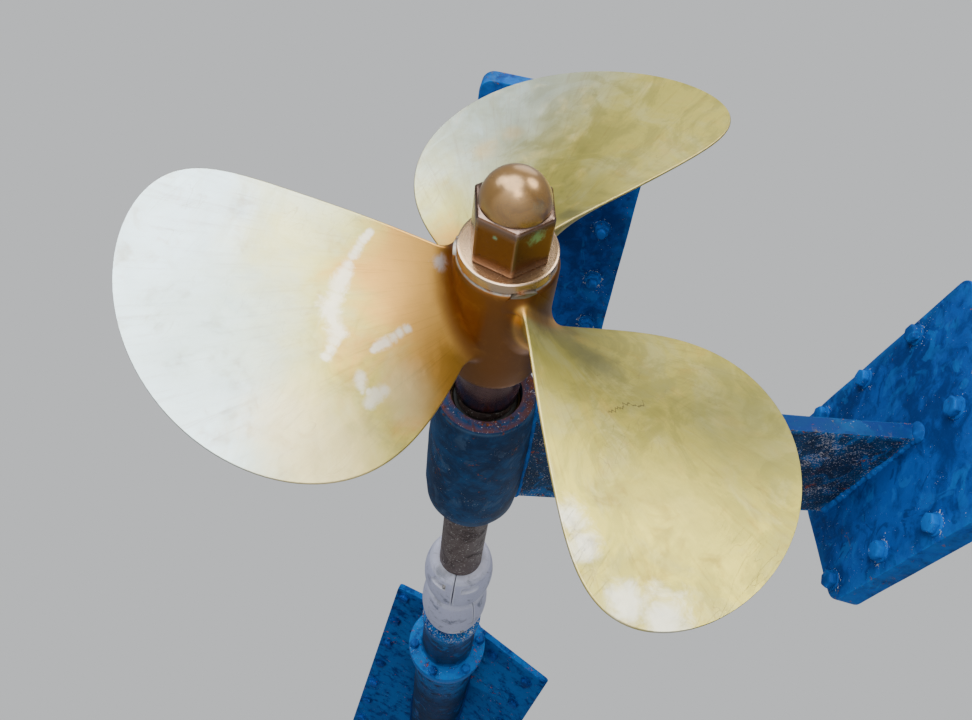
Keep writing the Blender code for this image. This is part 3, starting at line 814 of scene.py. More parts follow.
def turned(profile: Profile, steps: int = 96, closed: bool = True, start: float = 0.0,
           sweep: float = 360.0) -> BMesh:
    """Spins an outline about the shaft.

    Args:
        profile: Points of the outline as (along, radius).
        steps: How many steps the sweep has.
        closed: Whether the last point joins the first.
        start: The first angle, in degrees.
        sweep: The angle swept, in degrees; below 360 the ends are filled.

    Returns:
        The closed shape.
    """
    bm = bmesh.new()
    verts = [bm.verts.new((radius, 0.0, along)) for along, radius in profile]
    edges = [bm.edges.new(pair) for pair in zip(verts, verts[1:])]
    if closed:
        edges.append(bm.edges.new((verts[-1], verts[0])))
    full = sweep >= 360.0
    if not full:
        bmesh.ops.contextual_create(bm, geom=edges)
    moved(bm, Matrix.Rotation(math.radians(start), 4, "Z"))
    bmesh.ops.spin(bm, geom=bm.verts[:] + bm.edges[:] + bm.faces[:], cent=(0, 0, 0), axis=(0, 0, 1),
                   angle=math.radians(sweep), steps=steps, use_merge=full)
    bmesh.ops.remove_doubles(bm, verts=bm.verts, dist=1e-6)
    bmesh.ops.recalc_face_normals(bm, faces=bm.faces)
    return bm


def tube(low: float, high: float, inner: float, outer: float) -> BMesh:
    """Returns a plain tube about the shaft."""
    return turned([(low, inner), (low, outer), (high, outer), (high, inner)], 72)


def sheet(columns: int, rows: int, shape: Callable[[float, float], Vector]) -> BMesh:
    """Bends a grid to a shape, merges the sides that meet and fills the ends that stay open.

    Args:
        columns: Steps along the grid's first way.
        rows: Steps along its second way.
        shape: Gives the place of a point from its shares, 0 to 1, along the two ways.

    Returns:
        The closed shape.
    """
    bm = bmesh.new()
    bmesh.ops.create_grid(bm, x_segments=columns, y_segments=rows, size=1.0)
    for vert in bm.verts:
        vert.co = shape((vert.co.x + 1) / 2, (vert.co.y + 1) / 2)
    bmesh.ops.remove_doubles(bm, verts=bm.verts, dist=1e-6)
    bmesh.ops.holes_fill(bm, edges=bm.edges[:], sides=0)
    bmesh.ops.recalc_face_normals(bm, faces=bm.faces)
    return bm


def box(size: Point = (1.0, 1.0, 1.0), middle: Point = (0.0, 0.0, 0.0)) -> BMesh:
    """Makes a block.

    Args:
        size: Its three lengths.
        middle: Where its middle lies.

    Returns:
        The block.
    """
    bm = bmesh.new()
    bmesh.ops.create_cube(bm, size=1.0)
    bmesh.ops.scale(bm, vec=size, verts=bm.verts)
    bmesh.ops.translate(bm, vec=middle, verts=bm.verts)
    return bm


def prism(sides: int, radius: float, depth: float, middle: float) -> BMesh:
    """Makes an upright bar with equal sides.

    Args:
        sides: How many sides it has.
        radius: The radius of its corners.
        depth: Its height.
        middle: How high its middle lies.

    Returns:
        The bar.
    """
    bm = bmesh.new()
    bmesh.ops.create_cone(bm, cap_ends=True, segments=sides, radius1=radius, radius2=radius, depth=depth)
    bmesh.ops.translate(bm, vec=axial(middle), verts=bm.verts)
    return bm


def bevelled(bm: BMesh, parts: Sequence[BMEdge | BMVert], offset: float, segments: int,
             affect: str = "EDGES", clamp: bool = False) -> BMesh:
    """Rounds edges or corners.

    Args:
        bm: The mesh.
        parts: The edges or corners.
        offset: The bevel's width.
        segments: Steps across the bevel.
        affect: EDGES or VERTICES.
        clamp: Whether neighbouring bevels stop where they meet.

    Returns:
        The same mesh.
    """
    bmesh.ops.bevel(bm, geom=parts, offset=offset, segments=segments, profile=0.5, affect=affect,
                    material=-1, clamp_overlap=clamp)
    return bm


def sharp_edges(bm: BMesh, angle: float = 30.0) -> list[BMEdge]:
    """Returns the edges whose faces turn by more than the angle in degrees."""
    return [e for e in bm.edges if len(e.link_faces) == 2 and e.calc_face_angle(0) > math.radians(angle)]


def running(edges: Iterable[BMEdge], way: Vector) -> list[BMEdge]:
    """Returns the edges that run along a direction, within about 25 degrees."""
    return [e for e in edges if abs((e.verts[1].co - e.verts[0].co).normalized().dot(way)) > 0.9]


def soften(bm: BMesh, offset: float, angle: float = 30.0, segments: int = 2) -> BMesh:
    """Returns the mesh with its edges bevelled that turn by more than the angle in degrees."""
    return bevelled(bm, sharp_edges(bm, angle), offset, segments, clamp=True)


def sliced(bm: BMesh, point: Sequence[float], way: Sequence[float], clear: bool = False) -> None:
    """Cuts a mesh along a plane, and with clear takes away what lies beyond it."""
    bmesh.ops.bisect_plane(bm, geom=bm.verts[:] + bm.edges[:] + bm.faces[:], plane_co=point, plane_no=way,
                           clear_outer=clear)


def mesh_from(name: str, bm: BMesh) -> bpy.types.Mesh:
    """Makes a mesh of a shape and frees the shape.

    Args:
        name: The mesh's name.
        bm: The shape.

    Returns:
        The mesh.
    """
    mesh = bpy.data.meshes.new(name)
    bm.to_mesh(mesh)
    bm.free()
    return mesh


def linked(name: str, content: bpy.types.ID) -> bpy.types.Object:
    """Puts an object in the scene.

    Args:
        name: The object's name.
        content: Its mesh, lamp or lens.

    Returns:
        The object.
    """
    obj = bpy.data.objects.new(name, content)
    bpy.context.scene.collection.objects.link(obj)
    return obj


def merged(meshes: Iterable[BMesh]) -> BMesh:
    """Joins meshes.

    Args:
        meshes: The meshes, which are freed.

    Returns:
        One mesh that holds all of them.
    """
    bm = bmesh.new()
    for part in meshes:
        mesh = mesh_from("part", part)
        bm.from_mesh(mesh)
        bpy.data.meshes.remove(mesh)
    return bm


def moved(bm: BMesh, matrix: Matrix) -> BMesh:
    """Returns the mesh after it is moved by the matrix."""
    bmesh.ops.transform(bm, matrix=matrix, verts=bm.verts)
    return bm


def roughen(bm: BMesh, amount: float, scale: float,
            keep: Callable[[Vector], bool] = lambda point: False) -> BMesh:
    """Moves points along their normals by noise, as a casting or old plate is uneven.

    Args:
        bm: The mesh.
        amount: The largest move.
        scale: The noise's scale, per radius.
        keep: Says which points stay where they are.

    Returns:
        The same mesh.
    """
    bm.normal_update()
    shift = {v: v.normal * amount * noise.noise(v.co * scale) for v in bm.verts if not keep(v.co)}
    for vert, move in shift.items():
        vert.co += move
    return bm


def assigned(bm: BMesh, index: Callable[[BMFace], int]) -> BMesh:
    """Gives each face the number of its material.

    Args:
        bm: The mesh.
        index: Picks a face's number.

    Returns:
        The same mesh.
    """
    for face in bm.faces:
        face.material_index = index(face)
    return bm


def mark_edges(bm: BMesh, full: float = 35.0) -> BMesh:
    """Writes how sharp each point's edges are to the edge_wear attribute.

    Args:
        bm: The mesh.
        full: The turn, in degrees, from which an edge counts as fully sharp.

    Returns:
        The same mesh.
    """
    layer = bm.verts.layers.float.new("edge_wear")
    for vert in bm.verts:
        turns = [e.calc_face_angle(0) for e in vert.link_edges if len(e.link_faces) == 2]
        vert[layer] = min(1.0, max(turns, default=0.0) / math.radians(full))
    return bm


class Bench:
    """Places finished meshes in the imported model's frame, with their materials and bodies."""

    def __init__(self) -> None:
        """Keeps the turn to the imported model's frame, the shared effects and the materials made."""
        self.to_world, self.effects = shaft_to_world(), Effects()
        self.materials: dict[Finish, bpy.types.Material] = {}

    def material(self, finish: Finish) -> bpy.types.Material:
        """Returns a finish's material, which is made when it is first asked for."""
        if finish not in self.materials:
            self.materials[finish] = finish.make(self.effects)
        return self.materials[finish]

    def piece(self, name: str, bm: BMesh, body: Body, slot: str, finishes: Sequence[Finish],
              replaces: Sequence[str] = (), sharp: float = 32.0) -> None:
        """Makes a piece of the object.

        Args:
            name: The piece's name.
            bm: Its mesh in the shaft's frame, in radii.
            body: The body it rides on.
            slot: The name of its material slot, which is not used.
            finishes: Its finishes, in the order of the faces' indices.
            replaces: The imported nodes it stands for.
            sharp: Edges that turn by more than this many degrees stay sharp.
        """
        bmesh.ops.scale(bm, vec=Vector((PROPELLER_RADIUS,) * 3), verts=bm.verts)
        moved(bm, self.to_world)
        for edge in bm.edges:
            edge.smooth = edge.calc_face_angle(0) < math.radians(sharp)
        for face in bm.faces:
            face.smooth = True
        obj = linked(name, mesh_from(name, bm))
        for finish in finishes:
            obj.data.materials.append(self.material(finish))
        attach(obj, body.value)
        if replaces:
            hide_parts(*replaces)
        LOG.info("%s: %d faces on %s", name, len(obj.data.polygons), body.value)

    @staticmethod
    def carved(bm: BMesh, cutters: Sequence[BMesh]) -> BMesh:
        """Cuts shapes out of a mesh.

        Args:
            bm: The mesh that is cut.
            cutters: The closed shapes that are taken away.

        Returns:
            The cut mesh.
        """
        made = [linked(f"carving_{i}", mesh_from(f"carving_{i}", shape))
                for i, shape in enumerate([bm, *cutters])]
        for cutter in made[1:]:
            modifier = made[0].modifiers.new(cutter.name, "BOOLEAN")
            modifier.operation, modifier.solver, modifier.object = "DIFFERENCE", "EXACT", cutter
        shown = made[0].evaluated_get(bpy.context.evaluated_depsgraph_get())
        result = bmesh.new()
        cut = bpy.data.meshes.new_from_object(shown)
        result.from_mesh(cut)
        for mesh in [cut, *(obj.data for obj in made)]:
            bpy.data.meshes.remove(mesh)
        bmesh.ops.remove_doubles(result, verts=result.verts, dist=1e-6)
        return result


@dataclass
class Assembly:
    """A sub-assembly, whose pieces are placed by a bench."""

    bench: Bench


@dataclass
class Propeller(Assembly):
    """The bronze casting: a hub with three broad left-handed blades."""

    blades: int = 3
    start: float = -0.3
    pitch: float = 1.225
    rake: tuple[float, float] = (-0.1040, 0.0560)
    outline_hub: float = 0.16
    half_chord: tuple[float, ...] = (0.1565, 0.5149, 0.2791, -0.1317)
    mid_chord: tuple[float, ...] = (0.3444, 0.7334, 0.7304, -0.8798)
    root_thickness: float = 0.072
    tip_thickness: float = 0.0095
    edge_thickness: float = 0.0085
    fillet: float = 0.050
    end_flare: float = 0.90
    buried: float = 0.012
    hub_aft: float = -0.122
    hub_forward: float = -0.555
    hub_radius: float = 0.138
    bore_small: float = 0.064
    bore_large: float = 0.084
    face_steps: int = 44
    edge_steps: int = 10
    root_rings: int = 14
    rings: int = 58

    def wrapped(self, r: float, s: float, lift: float, blade: int) -> Vector:
        """Finds a point of a blade's section, which is wrapped on the cylinder of its radius.

        Args:
            r: The radius.
            s: The arc ahead of the blade's line.
            lift: How far the point lies forward of the driving face.
            blade: Which blade.

        Returns:
            The point.
        """
        slope = math.atan2(self.pitch / (2 * math.pi), r)
        turn = (s * math.cos(slope) - lift * math.sin(slope)) / r
        angle = self.start + blade * 2 * math.pi / self.blades + turn
        rake = self.rake[0] * r + self.rake[1] * r * r
        along = rake - s * math.sin(slope) - lift * math.cos(slope)
        return Vector((r * math.cos(angle), r * math.sin(angle), along))

    def ring_radius(self, share: float) -> float:
        """Finds the radius of a ring of the blade's skin.

        Args:
            share: The share of the way from inside the hub, up the fillet, to the tip.

        Returns:
            The radius.
        """
        row = round(share * (self.root_rings + self.rings))
        if row == 0:
            return self.hub_radius - self.buried
        if row <= self.root_rings:
            swing = math.pi / 2 * (row - 1) / (self.root_rings - 1)
            return self.hub_radius + self.fillet * (1 - math.cos(swing))
        low = math.asin((self.hub_radius + self.fillet - self.outline_hub) / (1 - self.outline_hub))
        angle = low + (math.pi / 2 - low) * (row - self.root_rings) / self.rings
        return self.outline_hub + (1 - self.outline_hub) * math.sin(angle)

    def blade_point(self, around: float, out: float, blade: int) -> Vector:
        """Finds a point of a blade's skin.

        Args:
            around: The share of the way round the section.
            out: The share of the way from inside the hub to the tip.
            blade: Which blade.

        Returns:
            The point.
        """
        r = self.ring_radius(out)
        rho = min(1.0, (r - self.outline_hub) / (1 - self.outline_hub))
        half = math.sqrt(1 - rho**2) * sum(c * rho**i for i, c in enumerate(self.half_chord))
        middle = sum(c * rho**i for i, c in enumerate(self.mid_chord))
        share = (1 - r) / (1 - self.outline_hub)
        depth = self.tip_thickness + (self.root_thickness - self.tip_thickness) * share**1.25
        near = min(1.0, max(0.0, 1 - (r - self.hub_radius) / self.fillet))
        flare = self.fillet * (1 - math.sqrt(1 - near**2))
        edge, faces, ends = self.edge_thickness, self.face_steps, self.edge_steps
        back, local = divmod(round(around * 2 * (faces + ends)) % (2 * (faces + ends)), faces + ends)
        side = -1.0 if back else 1.0
        if local <= faces:
            x = -math.cos(math.pi * local / faces) * side
            ahead = half * x
            lift = edge + (depth - edge) * max(0.0, 1 - x * x) ** 0.8 + flare if back else -flare
        else:
            swing = math.pi * (local - faces) / ends - math.pi / 2
            ahead = side * (half + (edge / 2 + flare * self.end_flare) * math.cos(swing))
            lift = edge / 2 + side * (edge / 2 + flare) * math.sin(swing)
        return self.wrapped(r, middle + ahead, lift, blade)

    def hub(self) -> BMesh:
        """Turns the hub, with a chamfered aft rim and a taper bore.

        Returns:
            The hub.
        """
        aft, fore, radius = self.hub_aft, self.hub_forward, self.hub_radius
        return turned([
            (aft, self.bore_small), (aft, 0.119), (aft - 0.002, 0.122), (aft - 0.006, 0.131),
            (aft - 0.010, 0.1345), (aft - 0.020, radius), (-0.24, radius), (-0.340, radius + 0.0004),
            (-0.45, radius), (fore + 0.030, radius), (fore + 0.018, radius - 0.002),
            (fore + 0.010, radius - 0.005), (fore + 0.003, radius - 0.011), (fore, radius - 0.016),
            (fore, self.bore_large + GAP), (fore + 0.01, self.bore_large - 0.001 + GAP),
        ], 120)

    def build(self) -> None:
        """Builds and dresses the casting."""
        columns, rows = 2 * (self.face_steps + self.edge_steps), self.root_rings + self.rings
        skins = [sheet(columns, rows, lambda a, b, blade=blade: self.blade_point(a, b, blade))
                 for blade in range(self.blades)]
        self.bench.piece("propeller_casting", mark_edges(merged([self.hub(), *skins]), 55.0), Body.SHAFT,
                         "propeller", [PolishedBronze("polished_bronze")], ["propeller"], 50.0)


@dataclass
class NutAndWasher(Assembly):
    """The domed hexagon nut and the turned washer behind it."""

    washer_aft: float = -0.088
    washer_forward: float = -0.122
    washer_radius: float = 0.130
    washer_bore: float = 0.052
    thread: float = 0.048
    thread_end: float = 0.030
    flats: float = 0.0945
    shoulder: float = 0.070
    dome: float = 0.0890
    chamfer: float = 0.0048
    foot_chamfer: float = 0.0025
    corner: float = 0.0007
    turn: float = 131.0
    around: int = 144
    flat_rows: int = 5
    dome_rows: int = 24

    def hexagon(self, angle: float, inset: float = 0.0) -> float:
        """Finds the hexagon's radius, with its corners slightly rounded.

        Args:
            angle: The angle round the shaft, in degrees.
            inset: How far its sides are moved in.

        Returns:
            The radius.
        """
        flats = self.flats - inset
        sharp = flats / math.cos(math.radians((angle - self.turn) % 60 - 30))
        return min(sharp, flats / math.cos(math.radians(30)) - self.corner)

    def outline(self, angle: float) -> list[tuple[float, float]]:
        """Draws the nut from its bore's mouth over the flats and the dome.

        Args:
            angle: The angle round the shaft, in degrees.

        Returns:
            Points as (along, radius).
        """
        low, top, ease = self.washer_aft + GAP, self.shoulder, self.foot_chamfer
        small, side, cut = (self.hexagon(angle, inset) for inset in (ease, 0.0, self.chamfer))
        points = [(low, self.thread + GAP), (low, small), (low + ease, side)]
        points += [(low + ease + (top - self.chamfer - low - ease) * i / self.flat_rows, side)
                   for i in range(1, self.flat_rows + 1)]
        points += [(top - 0.001, cut + 0.0009), (top, cut), (top, min(self.dome + 0.0008, cut - 0.0002))]
        swings = [math.radians(90 * i / self.dome_rows) for i in range(self.dome_rows + 1)]
        return points + [(top + 0.0015 + (self.dome - 0.0015) * math.sin(swing),
                          self.dome * 0.997 * math.cos(swing)) for swing in swings]

    def nut_point(self, around: float, along: float, rows: int) -> Vector:
        """Finds a point of the nut's skin.

        Args:
            around: The share of a turn.
            along: The share of the way from its bore's mouth over the dome.
            rows: How many rows the skin has.

        Returns:
            The point.
        """
        turn = math.radians(360.0 * around)
        z, r = self.outline(360.0 * around)[round(along * rows)]
        return Vector((r * math.cos(turn), r * math.sin(turn), z))

    def nut(self) -> BMesh:
        """Makes the nut with its blind bore.

        Returns:
            The nut.
        """
        rows, mouth, bore = len(self.outline(0.0)) - 1, self.washer_aft - 0.05, self.thread + GAP
        skin = sheet(self.around, rows, lambda a, b: self.nut_point(a, b, rows))
        drill = turned([(mouth, 0.0), (mouth, bore), (self.thread_end + 0.008, bore),
                        (self.thread_end + 0.012, 0.0)], 48, closed=False)
        return soften(self.bench.carved(skin, [drill]), 0.0006, 40.0, 1)

    def build(self) -> None:
        """Builds and dresses the nut and the washer."""
        aged = TurnedMetal(
            "aged_bronze", bright=(0.200, 0.088, 0.030), dark=(0.100, 0.040, 0.014), green=0.20,
            stained=0.62, verdigris=(0.24, 0.50, 0.52), rubbed_edge_highlight=(0.52, 0.46, 0.46), roughness=(0.24, 0.42),
            rings=700.0, film=0.6, blooms=(
                (-0.0320, 0.0060, 0.0490, 0.0075), (-0.0380, 0.0120, 0.0155, 0.0090),
                (-0.0071, 0.0395, 0.0130, 0.0026)))
        self.bench.piece("domed_nut", mark_edges(self.nut()), Body.SHAFT, "propeller_nut", [aged],
                         ["propeller_nut"])
        low, high, radius = self.washer_forward + GAP, self.washer_aft, self.washer_radius
        washer = turned([
            (low, self.washer_bore), (low, radius - 0.004), (low + 0.004, radius), (high - 0.006, radius),
            (high - 0.002, radius - 0.0015), (high - 0.0005, radius - 0.004), (high, radius - 0.008),
            (high, self.washer_bore),
        ], 120)
        satin = TurnedMetal("satin_bronze", bright=(0.60, 0.38, 0.19), dark=(0.26, 0.12, 0.06),
                            verdigris=(0.30, 0.30, 0.38), rubbed_edge_highlight=(0.60, 0.54, 0.52), green=0.45,
                            roughness=(0.26, 0.5), rings=1400.0)
        self.bench.piece("bronze_washer", mark_edges(washer), Body.SHAFT, "nut_washer", [satin],
                         ["nut_washer"])


@dataclass
class TailShaft(Assembly):
    """The shaft with its taper and thread, and the liner at the bracket."""

    end: float = -3.76
    hub_forward: float = -0.555
    hub_aft: float = -0.122
    taper: float = 0.060
    thread: float = 0.048
    thread_end: float = 0.030
    sleeve: float = 0.098
    sleeve_low: float = -0.746

    def build(self) -> None:
        """Builds and dresses the shaft and its liner."""
        shoulder = self.hub_aft - 0.010
        shaft = turned([
            (self.end, 0.0), (self.end, SHAFT - 0.004), (self.end + 0.004, SHAFT), (-3.2, SHAFT),
            (-2.2, SHAFT), (-1.2, SHAFT), (self.hub_forward - 0.004, SHAFT),
            (self.hub_forward, SHAFT - 0.002), (shoulder, self.taper), (shoulder, self.thread),
            (self.thread_end - 0.006, self.thread), (self.thread_end, self.thread - 0.006),
            (self.thread_end, 0.0),
        ], closed=False)
        steel = TurnedMetal("stained_steel", bright=(0.130, 0.092, 0.085), dark=(0.055, 0.036, 0.036),
                            verdigris=(0.20, 0.165, 0.165), pits=(0.50, 0.47, 0.45), green=0.5, stained=0.85,
                            roughness=(0.5, 0.7), rings=500.0, metallic=0.3)
        self.bench.piece("shaft", shaft, Body.SHAFT, "tail_shaft", [steel], ["tail_shaft"])
        low, high, inner, outer = self.sleeve_low, self.hub_forward - GAP, SHAFT + GAP, self.sleeve
        liner = turned([
            (low, inner), (low, outer - 0.007), (low + 0.002, outer - 0.0035), (low + 0.006, outer - 0.001),
            (low + 0.012, outer), (high - 0.02, outer + 0.0015), (high, outer + 0.002), (high, inner),
        ])
        # The liner's dark purple-brown is partly its own colour and partly painted shade.
        dark = TurnedMetal("dark_bronze", bright=(0.17, 0.085, 0.080), dark=(0.070, 0.034, 0.036),
                           verdigris=(0.13, 0.11, 0.15), pits=(0.03, 0.02, 0.02), green=0.4, stained=0.6,
                           roughness=(0.2, 0.45))
        self.bench.piece("shaft_liner", mark_edges(liner), Body.SHAFT, "shaft_sleeve", [dark],
                         ["shaft_sleeve"])


@dataclass(frozen=True)
class HexBolt:
    """A hexagon head or nut on a washer, standing on its seat, with a stud's end where it is a nut."""

    flats: float = 0.057
    head: float = 0.025
    washer: float = 0.037
    washer_height: float = 0.006
    sunk: float = 0.004
    stud: float = 0.0
    stud_radius: float = 0.0185
    thread_depth: float = 0.0022
    thread_pitch: float = 0.0048

    def thread(self) -> BMesh:
        """Turns the stud's threaded end, which starts inside the nut.

        Returns:
            The stud's end.
        """
        low = self.washer_height + self.head - self.sunk
        high = low + self.sunk + self.stud
        turns, core = max(2, int(self.stud / self.thread_pitch)), self.stud_radius - self.thread_depth
        points: list[tuple[float, float]] = [(low, 0.0)]
        for i in range(turns):
            z = low + self.sunk + self.stud * i / turns
            points += [(z, core), (z + self.stud / turns / 2, self.stud_radius)]
        return turned([*points, (high, self.stud_radius - 0.005), (high, 0.0)], 24, closed=False)

    def mesh(self) -> BMesh:
        """Makes the bolt, seat at Z = 0 and head up.

        Returns:
            The bolt.
        """
        parts, height = [], self.washer_height
        if self.washer > 0:
            ring = prism(28, self.washer, height + self.sunk, height / 2 - self.sunk / 2)
            parts.append(soften(ring, 0.0016, 60.0))
        corner = self.flats / 2 / math.cos(math.radians(30))
        head = prism(6, corner, self.head, height + self.head / 2)
        rim = next(face for face in head.faces if face.normal.z > 0.9).edges[:]
        bevelled(head, rim, self.flats * 0.12, 3)
        parts.append(bevelled(head, sharp_edges(head, 40.0), self.flats * 0.05, 2))
        if self.stud > 0:
            parts.append(self.thread())
        return merged(parts)


@dataclass
class ShaftAnode(Assembly):
    """A zinc clamped on the shaft: two cast halves, with a bolt in a pocket at each split."""

    name: str
    aft: float
    fore: float
    split: float
    pocket: float
    radius: float = 0.143
    lip: float = 0.104
    clearance: float = 0.0016
    bolt_offset: float = 0.114
    seat: float = 0.034
    slot_length: float = 0.10
    slot_width: float = 0.036
    slot_height: float = 0.12
    slot_offset: float = 0.030
    slot_corner: float = 0.014
    bolt: HexBolt = HexBolt(flats=0.0285, head=0.013, washer=0.0, washer_height=0.0)

    def profile(self, steps: int = 20) -> list[tuple[float, float]]:
        """Draws a half's outline along the shaft.

        Args:
            steps: How many steps the swell has.

        Returns:
            Points as (along, radius).
        """
        points = [(self.fore, SHAFT + GAP), (self.fore, self.lip * 0.93)]
        for i in range(steps + 1):
            share = i / steps
            swell = math.sin(math.pi * (0.06 + 0.88 * share)) ** 0.6
            inset = 0.004 if i in (0, steps) else 0.0
            points.append((self.fore + (self.aft - self.fore) * (0.01 + 0.98 * share),
                           self.lip + (self.radius - self.lip) * swell - inset))
        return [*points, (self.aft, self.lip), (self.aft, SHAFT + GAP)]

    def bolt_frames(self, side: int) -> list[Matrix]:
        """Finds the two pockets of a half.

        Args:
            side: 1 for the near half, -1 for the far one.

        Returns:
            Frames with Z out along the bolt and X away from the shaft.
        """
        turn = math.radians(self.split)
        out, frames = sideways(turn) * side, []
        for across in (radial(turn), -radial(turn)):
            origin = across * self.bolt_offset + axial(self.pocket)
            frames.append(framed(across, out.cross(across), out, origin))
        return frames

    def pocket_cutter(self, at: Matrix) -> BMesh:
        """Makes the slot that is cast for a bolt's head.

        Args:
            at: The bolt's frame.

        Returns:
            The shape that is cut away.
        """
        bm = box((self.slot_length, self.slot_width, self.slot_height),
                 (self.slot_offset, 0.0, self.seat + self.slot_height / 2))
        return moved(bevelled(bm, running(bm.edges, axial(1)), self.slot_corner, 4), at)

    def build(self, zinc: Finish, steel: Finish) -> None:
        """Builds and dresses both halves with their bolts.

        Args:
            zinc: The halves' finish.
            steel: The bolts' finish.
        """
        slack = math.degrees(self.clearance / SHAFT)
        for side, half, start in ((1, "near", self.split), (-1, "far", self.split + 180)):
            body = turned(self.profile(), 60, start=start + slack, sweep=180 - 2 * slack)
            body = self.bench.carved(body, [self.pocket_cutter(at) for at in self.bolt_frames(side)])
            node = f"{self.name}_{half}_half"
            self.bench.piece(f"{self.name}_{half}_casting", mark_edges(soften(body, 0.0025, 38.0)),
                             Body.SHAFT, node, [zinc], [node])
        lift = Matrix.Translation((0.004, 0, self.seat + 0.0008))
        heads = [moved(self.bolt.mesh(), at @ lift) for at in self.bolt_frames(-1)]
        self.bench.piece(f"{self.name}_bolts", merged(heads), Body.SHAFT, f"{self.name}_far_half", [steel])


def seat(face: Matrix, x: float, ahead: float, turn: float = 0.0) -> Matrix:
    """Finds where a bolt stands on a plate.

    Args:
        face: The plate's matrix.
        x: Its place to starboard of the face's point.
        ahead: Its place ahead of it.
        turn: How far the hexagon is turned, in degrees.

    Returns:
        A frame whose Z stands out of the plate's shaft side.
    """
    flip = Matrix.Rotation(math.pi, 4, "X")
    return face @ Matrix.Translation((x, ahead, 0)) @ flip @ Matrix.Rotation(math.radians(turn), 4, "Z")


def weld_bead(path: Path3, radius: float, ripple: float, seed: float) -> BMesh:
    """Lays a rippled weld bead along a closed path.

    Args:
        path: Centre and the two axes of the bead at each point.
        radius: The bead's radius.
        ripple: How much the run swells and pinches, as a share of the radius.
        seed: Shifts the noise.

    Returns:
        The bead, a closed ring.
    """

    def shape(a: float, b: float) -> Vector:
        """Finds a point of the bead.

        Args:
            a: The share of the way along the path.
            b: The share of the way round the bead.

        Returns:
            The point.
        """
        step = round(a * len(path)) % len(path)
        centre, out, up = path[step]
        uneven = noise.noise(centre * 9 + Vector((seed,) * 3))
        reach = radius * (1 + ripple * 0.5 * math.sin(step * 1.9) + ripple * 1.6 * uneven)
        return centre + out * (reach * math.cos(2 * math.pi * b)) + up * (reach * math.sin(2 * math.pi * b))

    return sheet(len(path), 12, shape)


def rounded_rectangle(half_x: float, half_y: float, corner: float, count: int) -> list[Spot]:
    """Walks round a rectangle with round corners.

    Args:
        half_x: Half its length.
        half_y: Half its width.
        corner: The corners' radius.
        count: How many points the walk has.

    Returns:
        x, y and the outward direction's x, y at evenly spaced points.
    """
    span, arc, walk = (half_x - corner, half_y - corner), math.pi / 2 * corner, []
    for i in range(count):
        run, quarter = 4 * (sum(span) + arc) * i / count, 0
        while run >= 2 * span[quarter % 2] + arc:
            run -= 2 * span[quarter % 2] + arc
            quarter += 1
        base, half = math.pi / 2 * (quarter - 1), span[quarter % 2]
        along, turn = min(run, 2 * half) - half, base + max(0.0, run - 2 * half) / corner
        x = math.cos(base) * span[0] - math.sin(base) * along + math.cos(turn) * corner
        y = math.sin(base) * span[1] + math.cos(base) * along + math.sin(turn) * corner
        walk.append((x, y, math.cos(turn), math.sin(turn)))
    return walk


